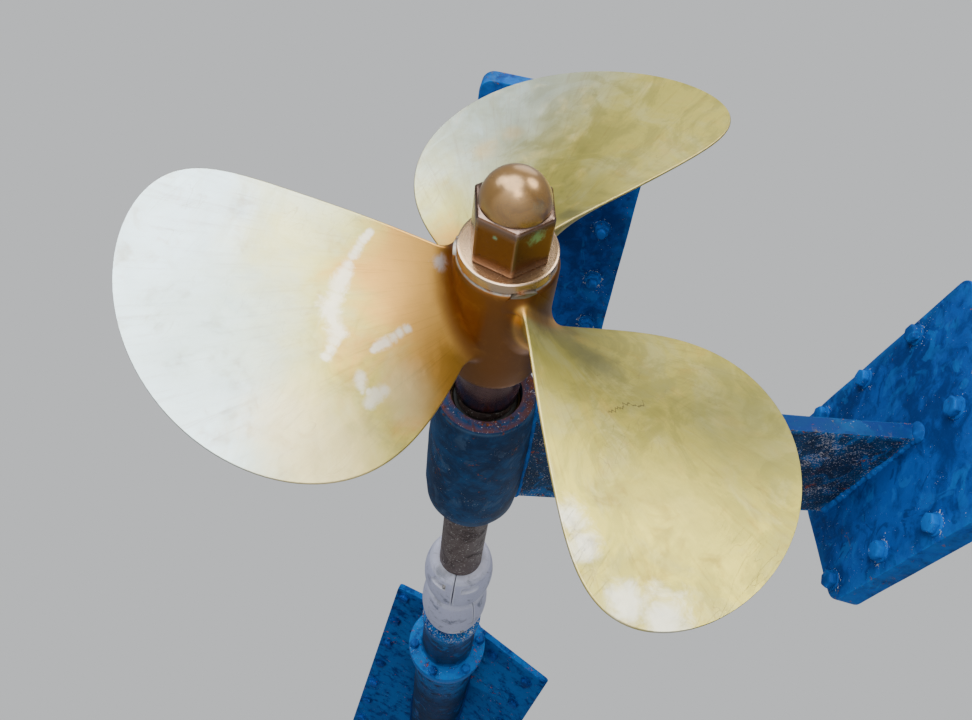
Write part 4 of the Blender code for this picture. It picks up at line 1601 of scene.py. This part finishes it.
@dataclass
class StrutBarrel(Assembly):
    """The bracket's barrel with its cutless bearing."""

    aft: float = -0.760
    fore: float = -1.450
    radius: float = 0.166
    bore: float = 0.112
    shell: float = 0.100
    recess: float = 0.030
    swell: Profile = ((0.0, -0.016), (0.012, -0.009), (0.06, -0.007), (0.42, 0.0), (0.79, 0.0),
                      (0.93, -0.008), (0.98, -0.022), (1.0, -0.040))
    rows: tuple[float, ...] = (0.0, 0.004, 0.012, 0.03, 0.06, 0.12, 0.2, 0.28, 0.35, 0.42, 0.5, 0.6, 0.7,
                               0.79, 0.86, 0.93, 0.955, 0.98, 0.992, 1.0)

    def outside(self, along: float) -> float:
        """Finds the barrel's outer radius.

        Args:
            along: The station along the shaft.

        Returns:
            The radius.
        """
        share = min(1.0, max(0.0, (self.aft - along) / (self.aft - self.fore)))
        for (a, low), (b, high) in zip(self.swell, self.swell[1:]):
            if share <= b:
                break
        return self.radius + low + (high - low) * (share - a) / (b - a)

    def shape(self) -> BMesh:
        """Makes the barrel, cast uneven, with its after end marked for the second finish.

        Returns:
            The barrel.
        """
        stations = [self.aft - (self.aft - self.fore) * share for share in self.rows]
        bm = turned([(self.aft, self.bore), (self.aft, self.bore + 0.018),
                     *((along, self.outside(along)) for along in stations), (self.fore, self.bore)], 120)
        roughen(bm, 0.0016, 11.0, lambda p: p.xy.length < self.bore + 0.004)
        return assigned(bm, lambda face: int(face.calc_center_median().z > self.aft - 0.004
                                             and face.calc_center_median().xy.length < self.radius))

    def build(self) -> None:
        """Builds and dresses the barrel and its bearing."""
        # The barrel's paint is a darker copy of the blue, a painted shade, and its faded patches are a
        # painted lavender sheen.
        navy = Antifouling("barrel_paint", paint=(0.002, 0.054, 0.165), shade=(0.001, 0.018, 0.066),
                           faded=(0.050, 0.105, 0.200), chip=(0.230, 0.070, 0.040), crust=(0.40, 0.40, 0.44),
                           chips=0.65, stains=0.58, shells=0.6, fading=0.6)
        rusty = Antifouling("rusty_ring", paint=(0.100, 0.034, 0.030), shade=(0.004, 0.060, 0.190),
                            faded=(0.17, 0.055, 0.04), crust=(0.50, 0.46, 0.56), chips=0.9, stains=0.5,
                            shells=1.2, fading=0.8, relief=0.0022)
        self.bench.piece("barrel", mark_edges(self.shape()), Body.HULL, "strut_barrel", [navy, rusty],
                         ["strut_barrel"])
        low, high = self.fore + self.recess, self.aft - self.recess
        # The bearing shell's brass is painted almost black: painted shade inside the barrel's bore.
        brass = TurnedMetal("bearing_brass", bright=(0.07, 0.05, 0.035), dark=(0.03, 0.02, 0.015), green=0.2)
        shell = soften(tube(low, high, self.shell, self.bore - GAP), 0.0012)
        self.bench.piece("bearing_shell", shell, Body.HULL, "strut_bearing_shell", [brass],
                         ["strut_bearing_shell"])
        rubber = soften(tube(low, high, RUNNING_BORE, self.shell - GAP), 0.0012)
        self.bench.piece("bearing_rubber", rubber, Body.HULL, "strut_bearing_rubber",
                         [BlackRubber("bearing_rubber_black")], ["strut_bearing_rubber"])


@dataclass
class BracketArm(Assembly):
    """A flat arm of the V-bracket with the welds at its foot and its root."""

    name: str
    angle: float
    face: HullFace
    barrel: StrutBarrel
    thickness: float = 0.056
    root: float = 0.150
    foot: float = 1.385
    aft: tuple[float, float] = (-0.820, -0.822)
    fore: tuple[float, float] = (-1.400, -1.360)
    rounding: float = 0.014
    inner: float = 0.132
    foot_bead: float = 0.014
    root_bead: float = 0.0105

    def edge(self, stations: tuple[float, float], r: float) -> float:
        """Returns where a long edge of the arm lies along the shaft at a radius."""
        return stations[0] + (stations[1] - stations[0]) * (r - self.root) / (self.foot - self.root)

    def ways(self) -> tuple[Vector, Vector]:
        """Returns the arm's outward and sideways directions."""
        return radial(math.radians(self.angle)), sideways(math.radians(self.angle))

    def around(self, r: float, count: int, trim: float = 0.0) -> list[tuple[Vector, float, Vector]]:
        """Walks round the arm's section.

        Args:
            r: The radius where the section lies.
            count: How many points the walk has.
            trim: How much shorter each half is along the shaft.

        Returns:
            Each point's place beside and along the shaft, its offset sideways and its outward direction.
        """
        side = self.ways()[1]
        aft, fore = self.edge(self.aft, r), self.edge(self.fore, r)
        walk = rounded_rectangle((aft - fore) / 2 - trim, self.thickness / 2, self.rounding, count)
        return [(axial((aft + fore) / 2 + z) + side * t, t, axial(dz) + side * dt) for z, t, dz, dt in walk]

    def bar(self) -> BMesh:
        """Makes the arm's flat bar, rounded along its edges and cut to the palm's face.

        Returns:
            The bar, with its after edge marked for the second finish.
        """
        out, side = self.ways()
        bm = box()
        for vert in bm.verts:
            r = self.foot * 1.2 if vert.co.x > 0 else self.inner
            along = self.edge(self.aft if vert.co.z > 0 else self.fore, r)
            vert.co = out * r + side * (self.thickness * vert.co.y) + axial(along)
        bevelled(bm, running(bm.edges, out), self.rounding, 4)
        for i in range(34):
            sliced(bm, out * (0.16 + 0.045 * i), out)
        for i in range(14):
            sliced(bm, axial(-0.80 - 0.05 * i), axial(1))
        face = self.face.matrix()
        normal = normal_of(face)
        sliced(bm, face.translation - normal * GAP, normal, True)
        bmesh.ops.holes_fill(bm, edges=[e for e in bm.edges if e.is_boundary], sides=0)
        bmesh.ops.recalc_face_normals(bm, faces=bm.faces)
        roughen(bm, 0.0022, 6.0, lambda p: p.dot(out) < 0.2 or (p - face.translation).dot(normal) > -0.01)
        return assigned(mark_edges(bm), lambda side_face: int(side_face.normal.z > 0.5))

    def foot_path(self) -> Path3:
        """Traces the line where the arm meets the palm.

        Returns:
            Each point with the bead's axes.
        """
        out, face, path = self.ways()[0], self.face.matrix(), []
        normal = normal_of(face)
        for start, _, away in self.around(self.foot, 132):
            r = (face.translation - start).dot(normal) / out.dot(normal)
            away = (away - normal * away.dot(normal)).normalized()
            path.append((start + out * r - away * 0.003, away, -normal))
        return path

    def root_path(self) -> Path3:
        """Traces the line where the arm meets the barrel.

        Returns:
            Each point with the bead's axes.
        """
        out, path = self.ways()[0], []
        for start, t, away in self.around(self.root, 120, 0.002):
            centre = start + out * math.sqrt(self.barrel.outside(start.z) ** 2 - t**2)
            path.append((centre, away, Vector((centre.x, centre.y, 0)).normalized()))
        return path

    def lump(self, at: tuple[Vector, Vector, Vector]) -> BMesh:
        """Makes the lump of weld at the foot's after end.

        Args:
            at: The bead's point and axes there.

        Returns:
            The lump.
        """
        end, away, up = at
        bm = bmesh.new()
        bmesh.ops.create_icosphere(bm, subdivisions=4, radius=1.0)
        moved(bm, framed(away.cross(up) * 0.042, away * 0.034, up * 0.016, end + away * 0.012))
        return roughen(bm, 0.012, 24.0)

    def build(self, sides: Finish, edge: Finish, bead: Finish) -> None:
        """Builds and dresses the arm and its welds.

        Args:
            sides: The finish of the arm's sides.
            edge: The finish of its after edge.
            bead: The welds' finish.
        """
        node, path = f"{self.name}_arm", self.foot_path()
        self.bench.piece(f"{node}_bar", self.bar(), Body.HULL, node, [sides, edge], [node])
        welds = [weld_bead(path, self.foot_bead, 0.30, self.angle),
                 weld_bead(self.root_path(), self.root_bead, 0.2, 3.0),
                 self.lump(max(path, key=lambda entry: entry[0].z))]
        self.bench.piece(f"{node}_welds", merged(welds), Body.HULL, node, [bead])


@dataclass
class Palm(Assembly):
    """A bolting plate on the hull at the end of an arm."""

    name: str
    face: HullFace
    ends: tuple[float, float]
    sides: tuple[float, float]
    clip: tuple[float, float] = (0.0, 0.0)
    bolts: tuple[tuple[float, float], ...] = ()
    studs: tuple[tuple[float, float], ...] = ()
    corner: float = 0.05
    grid: float = 0.06
    rim: float = 0.0065
    salt_reach: float = 0.017

    def plate(self) -> BMesh:
        """Makes the plate with round corners, its rims eased and its faces slightly uneven.

        Returns:
            The plate.
        """
        across = (-self.sides[1], -self.sides[0])
        bm = bmesh.new()
        bmesh.ops.create_grid(bm, x_segments=1, y_segments=1, size=0.5)
        for vert in bm.verts:
            vert.co = Vector((across[vert.co.x > 0], self.ends[vert.co.y > 0], 0))
        if self.clip[0] > 0:
            away = Vector((*self.clip, 0)).normalized()
            sliced(bm, (across[1], self.ends[1] - self.clip[0], 0), away, True)
        bmesh.ops.dissolve_faces(bm, faces=bm.faces[:])
        bevelled(bm, bm.verts[:], self.corner, 6, "VERTICES")
        for (low, high), way in ((across, Vector((1, 0, 0))), (self.ends, Vector((0, 1, 0)))):
            steps = int((high - low) / self.grid)
            for i in range(1, steps):
                sliced(bm, way * (low + (high - low) * i / steps), way)
        top = bmesh.ops.extrude_face_region(bm, geom=bm.faces[:])
        raised = [v for v in top["geom"] if isinstance(v, BMVert)]
        bmesh.ops.translate(bm, vec=axial(PALM_THICKNESS), verts=raised)
        bmesh.ops.recalc_face_normals(bm, faces=bm.faces)
        soften(bm, self.rim, 60.0, 3)
        roughen(bm, 0.0030, 5.0, lambda p: p.z > PALM_THICKNESS - 0.001)
        return moved(bm, self.face.matrix())

    def build(self, paint: Antifouling, bolt: Finish) -> None:
        """Builds and dresses the plate and its bolts.

        Args:
            paint: The plate's finish, before it is salted round the bolts.
            bolt: The bolts' finish.
        """
        node, face = f"{self.name}_palm", self.face.matrix()
        seats = [seat(face, *place) for place in (*self.bolts, *self.studs)]
        salted = tuple((*(self.bench.to_world @ (at.translation * PROPELLER_RADIUS)), self.salt_reach)
                       for at in seats)
        dressed = replace(paint, name=f"{node}_paint", salted=salted)
        self.bench.piece(f"{node}_plate", mark_edges(self.plate()), Body.HULL, node, [dressed], [node])
        heads = [moved(HexBolt().mesh(), seat(face, *place, 23.0 * i)) for i, place in enumerate(self.bolts)]
        for i, place in enumerate(self.studs):
            stud = HexBolt(stud=0.026 + 0.012 * ((i * 7) % 3))
            heads.append(moved(stud.mesh(), seat(face, *place, 31.0 * i)))
        self.bench.piece(f"{node}_bolts", merged(heads), Body.HULL, node, [bolt])


@dataclass
class SternBearing(Assembly):
    """The stern bearing's housing and the tube's flange, bolted together, with the bush."""

    aft: float = -2.690
    fore: float = -3.165
    radius: float = 0.126
    ring: float = 0.136
    ring_length: float = 0.045
    bore: float = 0.103
    flange: float = 0.190
    flange_thickness: float = 0.042
    recess: float = 0.006
    bolt_circle: float = 0.1635
    bolts: int = 6
    first_bolt: float = 44.0
    bolt: HexBolt = HexBolt(flats=0.040, head=0.026, washer=0.0245, washer_height=0.004)

    def housing(self) -> BMesh:
        """Makes the housing, with its flange and its collar marked for their own finishes.

        Returns:
            The housing.
        """
        aft, fore, flange, radius = self.aft, self.fore, self.fore + self.flange_thickness, self.radius
        neck = aft - self.ring_length
        bm = turned([
            (aft, self.bore), (aft, self.ring - 0.010), (aft - 0.003, self.ring - 0.003),
            (aft - 0.008, self.ring), (neck + 0.004, self.ring), (neck - 0.002, self.ring - 0.004),
            (neck - 0.008, radius), (-2.85, radius), (-2.95, radius), (-3.05, radius),
            (flange + 0.016, radius), (flange + 0.006, radius + 0.003), (flange, radius + 0.010),
            (flange, self.flange - 0.007), (flange - 0.003, self.flange - 0.002),
            (flange - 0.008, self.flange), (fore, self.flange), (fore, self.bore),
        ], 108)
        roughen(bm, 0.0018, 10.0, lambda p: p.xy.length < self.bore + 0.004)

        def finish(face: BMFace) -> int:
            """Returns 0 for the body, 1 for the flange and 2 for the collar."""
            z = face.calc_center_median().z
            return 1 if z < flange + 0.003 else 2 * (z > neck)

        return assigned(bm, finish)

    def build(self) -> None:
        """Builds and dresses the housing, its flanges, bolts and bush."""
        fore, rim = self.fore - GAP, self.flange - 0.004
        # The housing's paint is a darker copy of the blue, a painted shade; the flange's face gets a
        # brighter copy, a painted highlight.
        body = Antifouling("housing_paint", paint=(0.001, 0.034, 0.145), shade=(0.001, 0.013, 0.055),
                           chips=0.5, stains=0.3, shells=0.4)
        bright = Antifouling("flange_face_paint", paint=(0.001, 0.120, 0.480), chips=0.4, stains=0.2,
                             shells=0.5)
        collar = Antifouling("collar_paint", paint=(0.004, 0.080, 0.260), crust=(0.52, 0.52, 0.56),
                             chips=0.5, stains=0.4, shells=1.6)
        self.bench.piece("bearing_housing", mark_edges(self.housing()), Body.HULL, "stern_bearing_housing",
                         [body, bright, collar], ["stern_bearing_housing"])
        low = fore - self.flange_thickness
        flange = turned([(fore, self.bore), (fore, rim), (low + 0.008, rim), (low + 0.003, rim - 0.002),
                         (low, rim - 0.006), (low, self.bore)], 108)
        dull = Antifouling("flange_paint", chips=0.5, stains=0.55, shells=0.3)
        self.bench.piece("tube_flange", mark_edges(flange), Body.HULL, "stern_tube_flange", [dull],
                         ["stern_tube_flange"])
        heads = []
        for i in range(self.bolts):
            turn = math.radians(self.first_bolt + 360 * i / self.bolts)
            place = radial(turn) * self.bolt_circle + axial(self.fore + self.flange_thickness)
            at = Matrix.Translation(place) @ Matrix.Rotation(turn + 0.3 * i, 4, "Z")
            heads.append(moved(self.bolt.mesh(), at))
        # The flange's bolts take the brighter copy too: painted highlights.
        self.bench.piece("flange_bolts", merged(heads), Body.HULL, "stern_bearing_housing",
                         [replace(bright, name="bolt_paint")])
        bush = tube(self.fore + self.recess, self.aft - self.recess, RUNNING_BORE, self.bore - GAP)
        brass = TurnedMetal("bush_brass", bright=(0.50, 0.36, 0.17), dark=(0.22, 0.13, 0.07), green=0.45)
        self.bench.piece("bearing_bush", soften(bush, 0.001), Body.HULL, "stern_bearing_bush", [brass],
                         ["stern_bearing_bush"])


@dataclass
class ShaftLog(Assembly):
    """The stern tube and the folded base plate that it passes through."""

    face: HullFace = LOG_FACE
    tube: float = 0.150
    wall: float = 0.022
    tube_aft: float = -3.165 - 0.042 - 2 * GAP
    tube_fore: float = -5.35
    thickness: float = 0.032
    fold: float = 6.5
    aft: tuple[float, float] = (0.08, 0.12)
    fore: float = 2.26
    sides: tuple[float, float] = (0.37, 0.54)
    corner: float = 0.02
    rows: int = 14
    port_line: float = -0.325
    port_bolts: tuple[float, ...] = (0.14, 0.405, 0.67, 0.935, 1.20, 1.465, 1.73, 1.995, 2.19)
    starboard_line: float = 0.45
    starboard_bolts: tuple[float, ...] = (0.22, 0.485, 0.75, 1.015, 1.28, 1.545, 1.81, 2.075)
    odd_bolt: tuple[float, float] = (0.23, 0.20)
    bolt: HexBolt = HexBolt(flats=0.050, head=0.018, washer=0.033, washer_height=0.005)

    def half(self, side: int, height: float = 0.0) -> Matrix:
        """Returns the axes of one half of the plate, at a height above its shaft side."""
        turn = Matrix.Rotation(side * math.radians(self.fold), 4, "Y")
        return self.face.matrix() @ turn @ Matrix.Translation((0, 0, height))

    def plate(self) -> BMesh:
        """Makes the folded plate with its corners rounded.

        Returns:
            The plate.
        """
        bm = bmesh.new()
        bmesh.ops.create_grid(bm, x_segments=2, y_segments=1, size=1.0)
        crest = self.aft[0] + (self.aft[1] - self.aft[0]) * (self.sides[0] / sum(self.sides))
        places = {-1: (-self.sides[0], self.aft[0]), 0: (0.0, crest), 1: (self.sides[1], self.aft[1])}
        for vert in bm.verts:
            x, aft = places[round(vert.co.x)]
            vert.co = Vector((x, aft if vert.co.y < 0 else self.fore, 0))
        for i in range(1, self.rows):
            sliced(bm, (0, self.fore * i / self.rows, 0), (0, 1, 0))
        top = bmesh.ops.extrude_face_region(bm, geom=bm.faces[:])
        raised = {v for v in top["geom"] if isinstance(v, BMVert)}
        middle, ridge = self.face.matrix(), self.thickness / math.cos(math.radians(self.fold))
        for vert in bm.verts:
            high = vert in raised
            if abs(vert.co.x) < 1e-6:
                vert.co = middle @ Vector((0, vert.co.y, ridge if high else 0))
            else:
                vert.co = self.half(1 if vert.co.x > 0 else -1, self.thickness if high else 0.0) @ vert.co
        bmesh.ops.recalc_face_normals(bm, faces=bm.faces)
        return bevelled(bm, running(sharp_edges(bm, 60.0), normal_of(middle)), self.corner, 4)

    def meeting(self, count: int = 180) -> Path3:
        """Traces the line where the tube passes through the plate.

        Args:
            count: How many points the line has.

        Returns:
            Each point with the bead's axes.
        """
        path, base = [], self.face.matrix().inverted()
        for i in range(count):
            out = radial(2 * math.pi * i / count)
            start, found = out * self.tube, None
            for side in (1, -1):
                half = self.half(side)
                normal = normal_of(half)
                point = start + axial((half.translation - start).dot(normal) / normal.z)
                if found is None or (base @ point).x * side >= 0:
                    found = (point, -normal)
            point, up = found
            path.append((point, (out - up * out.dot(up)).normalized(), up))
        return path

    def build(self) -> None:
        """Builds and dresses the tube, the plate, its bolts and the sealing bead."""
        inner, outer, end = self.tube - self.wall, self.tube, self.tube_aft
        pipe = turned([
            (self.tube_fore, inner), (self.tube_fore, outer), (-4.6, outer), (-4.1, outer), (-3.7, outer),
            (end - 0.003, outer), (end, outer - 0.003), (end, inner),
        ])
        blocks = [moved(box((2.0, 8.0, 2.0), (0.0, 0.0, 1.0)), self.half(side, self.thickness))
                  for side in (-1, 1)]
        # The tube's paint is the darkest copy of the blue: painted shade.
        streaky = Antifouling("tube_paint", paint=(0.001, 0.018, 0.080), shade=(0.001, 0.008, 0.034),
                              rust=(0.07, 0.018, 0.040), chips=0.5, stains=0.7, shells=0.25, fading=0.4,
                              sheen=0.08)
        self.bench.piece("tube", mark_edges(self.bench.carved(pipe, blocks)), Body.HULL, "stern_tube",
                         [streaky], ["stern_tube"])
        start, stop, bore = self.tube_fore - 1, self.face.station, self.tube + GAP
        hole = turned([(start, 0.0), (start, bore), (stop, bore), (stop, 0.0)], closed=False)
        plate = soften(self.bench.carved(self.plate(), [hole]), 0.0035, 60.0)
        # The plate's paint is a darker copy of the blue: painted shade.
        paint = Antifouling("log_paint", paint=(0.0005, 0.033, 0.180), shade=(0.0005, 0.025, 0.145),
                            chips=0.3, stains=0.2, fading=0.2, relief=0.0005, sheen=0.08)
        self.bench.piece("log_plate", mark_edges(plate), Body.HULL, "shaft_log_plate", [paint],
                         ["shaft_log_plate"], 25.0)
        seats = [seat(self.half(-1), self.port_line, y, 17.0 * i) for i, y in enumerate(self.port_bolts)]
        seats += [seat(self.half(1), self.starboard_line, y, 29.0 * i)
                  for i, y in enumerate(self.starboard_bolts)]
        seats.append(seat(self.half(1), *self.odd_bolt, 11.0))
        chipped = Antifouling("log_bolt_paint", chips=0.45, stains=0.3, shells=0.4)
        self.bench.piece("log_bolts", merged(moved(self.bolt.mesh(), at) for at in seats), Body.HULL,
                         "shaft_log_plate", [chipped])
        self.bench.piece("tube_weld", weld_bead(self.meeting(), 0.010, 0.25, 7.0), Body.HULL, "stern_tube",
                         [replace(paint, name="tube_weld_paint")])


@dataclass(frozen=True)
class Lamp:
    """A round soft light."""

    name: str
    place: Point
    size: float
    power: float
    colour: Colour

    def build(self, target: Vector) -> None:
        """Builds the light.

        Args:
            target: The point that it shines on.
        """
        lamp = bpy.data.lights.new(self.name, "AREA")
        lamp.shape, lamp.size, lamp.energy, lamp.color = "DISK", self.size, self.power, self.colour
        obj = linked(self.name, lamp)
        obj.location = self.place
        obj.rotation_euler = (target - Vector(self.place)).to_track_quat("-Z", "Y").to_euler()


@dataclass
class Studio:
    """A plain pale floor and room, soft lights, and the camera at the photograph's angle."""

    floor: float = -2.25
    paper: Colour = (0.72, 0.73, 0.74)
    seen: tuple[Colour, float] = ((0.80, 0.82, 0.84), 0.80)
    lit: tuple[Colour, float] = ((0.80, 0.85, 0.90), 0.34)
    target: Point = (0, 0.1, -0.7)
    lens: float = 36.52
    place: Point = (0.0199, -0.9115, -1.4624)
    view: Point = (-0.0386, 0.7005, 0.7126)
    up: Point = (-0.2012, -0.7039, 0.6811)
    lamps: tuple[Lamp, ...] = (
        Lamp("aft_softbox", (-0.95, -4.0, -0.6), 3.6, 178.0, (0.96, 0.985, 1.0)),
        Lamp("port_softbox", (-2.7, -3.0, 0.4), 1.8, 40.0, (0.96, 0.99, 1.0)),
        Lamp("starboard_softbox", (2.3, -3.6, 1.0), 2.0, 72.0, (1.0, 0.97, 0.88)),
        Lamp("low_softbox", (0.15, -2.3, -1.75), 0.9, 14.0, (1.0, 0.97, 0.92)),
        Lamp("high_fill", (0.3, -1.8, 3.2), 2.6, 27.0, (1.0, 0.99, 0.95)),
        Lamp("forward_fill", (0.6, 4.5, 0.8), 3.0, 24.0, (0.96, 0.98, 1.0)),
    )

    def ground(self) -> None:
        """Lays the floor."""
        bm = bmesh.new()
        bmesh.ops.create_grid(bm, x_segments=1, y_segments=1, size=14.0)
        bmesh.ops.translate(bm, vec=axial(self.floor), verts=bm.verts)
        floor, paper = linked("floor", mesh_from("floor", bm)), bpy.data.materials.new("pale_paper")
        paper.use_nodes = True
        shader = paper.node_tree.nodes["Principled BSDF"]
        shader.inputs["Base Color"].default_value = (*self.paper, 1)
        shader.inputs["Roughness"].default_value = 0.9
        floor.data.materials.append(paper)

    def room(self) -> None:
        """Sets the world: one shade that the camera sees and one that lights the object."""
        world = bpy.data.worlds.new("pale_room")
        bpy.context.scene.world = world
        world.use_nodes = True
        graph = Graph(world.node_tree)
        seen, lit = ({"Color": colour, "Strength": strength} for colour, strength in (self.seen, self.lit))
        for name, value in seen.items():
            graph.feed(world.node_tree.nodes["Background"].inputs[name], value)
        shown = Wire(graph, world.node_tree.nodes["Background"].outputs[0])
        mixed = graph.wire("MixShader", 0, {0: graph.wire("LightPath", "Is Camera Ray", {}),
                                            1: graph.wire("Background", 0, lit), 2: shown})
        graph.feed(world.node_tree.nodes["World Output"].inputs["Surface"], mixed)

    def camera(self) -> None:
        """Sets the camera up."""
        lens = bpy.data.cameras.new("camera")
        lens.lens, lens.sensor_width, lens.clip_start = self.lens, 36.0, 0.01
        obj = linked("camera", lens)
        back, up = -Vector(self.view).normalized(), Vector(self.up)
        up = (up - back * up.dot(back)).normalized()
        obj.matrix_world = framed(up.cross(back), up, back, Vector(self.place))
        bpy.context.scene.camera = obj

    def build(self) -> None:
        """Builds the floor, the world, the lights and the camera."""
        self.ground()
        self.room()
        for lamp in self.lamps:
            lamp.build(Vector(self.target))
        self.camera()


def bracket(bench: Bench) -> None:
    """Builds the V-bracket: its barrel, and an arm and a palm on each side.

    Args:
        bench: Places the pieces.
    """
    barrel = StrutBarrel(bench)
    barrel.build()
    # The arms' paints are darker copies of the palms' blue: painted shade on their sides and after edges.
    sides = Antifouling("arm_paint", paint=(0.008, 0.050, 0.135), shade=(0.008, 0.020, 0.052),
                        crust=(0.48, 0.44, 0.46), chips=0.9, stains=0.55, shells=1.3)
    edge = Antifouling("arm_edge_paint", paint=(0.001, 0.042, 0.160), faded=(0.004, 0.100, 0.300),
                       rust=(0.190, 0.150, 0.045), chips=0.6, stains=0.75, shells=0.5)
    # The welds and the palms' bolts take a brighter copy of the blue: painted highlights.
    bead = Antifouling("bead_paint", paint=(0.001, 0.120, 0.480), shade=(0.001, 0.060, 0.260), chips=0.4,
                       stains=0.3, shells=0.6)
    plate = Antifouling("palm_paint", chip=(0.300, 0.120, 0.050), rust=(0.120, 0.095, 0.035), stains=0.62,
                        shells=0.4, fading=0.45)
    BracketArm(bench, "starboard", -143.0, STARBOARD_FACE, barrel).build(sides, edge, bead)
    BracketArm(bench, "port", -64.0, PORT_FACE, barrel).build(sides, edge, bead)
    Palm(bench, "starboard", STARBOARD_FACE, (-0.29, 0.70), (-0.23, 0.57), (0.13, 0.42), bolts=(
        (-0.517, -0.010), (-0.515, 0.280), (-0.515, 0.555), (-0.147, -0.150), (0.174, 0.007),
        (0.157, 0.273), (0.156, 0.548))).build(plate, bead)
    Palm(bench, "port", PORT_FACE, (-0.09, 1.14), (-0.41, 0.28), studs=(
        (0.300, 0.475), (0.314, 0.743), (0.335, 0.997), (0.290, 0.200), (-0.195, 0.050), (-0.195, 0.320),
        (-0.195, 0.600), (-0.195, 0.880))).build(plate, bead)


def main() -> None:
    """Builds every sub-assembly in order."""
    logging.basicConfig(level=logging.INFO, format="%(message)s")
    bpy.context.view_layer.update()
    bench = Bench()
    Propeller(bench).build()
    NutAndWasher(bench).build()
    TailShaft(bench).build()
    zinc = ChalkyZinc("chalky_zinc")
    steel = TurnedMetal("bolt_steel", bright=(0.34, 0.32, 0.32), dark=(0.18, 0.13, 0.11), rings=300.0,
                        metallic=0.7)
    ShaftAnode(bench, "aft_anode", -2.030, -2.300, 118.0, -2.088).build(zinc, steel)
    ShaftAnode(bench, "forward_anode", -2.306, -2.655, 165.0, -2.585).build(zinc, steel)
    bracket(bench)
    SternBearing(bench).build()
    ShaftLog(bench).build()
    Studio().build()


if __name__ == "__main__":
    main()
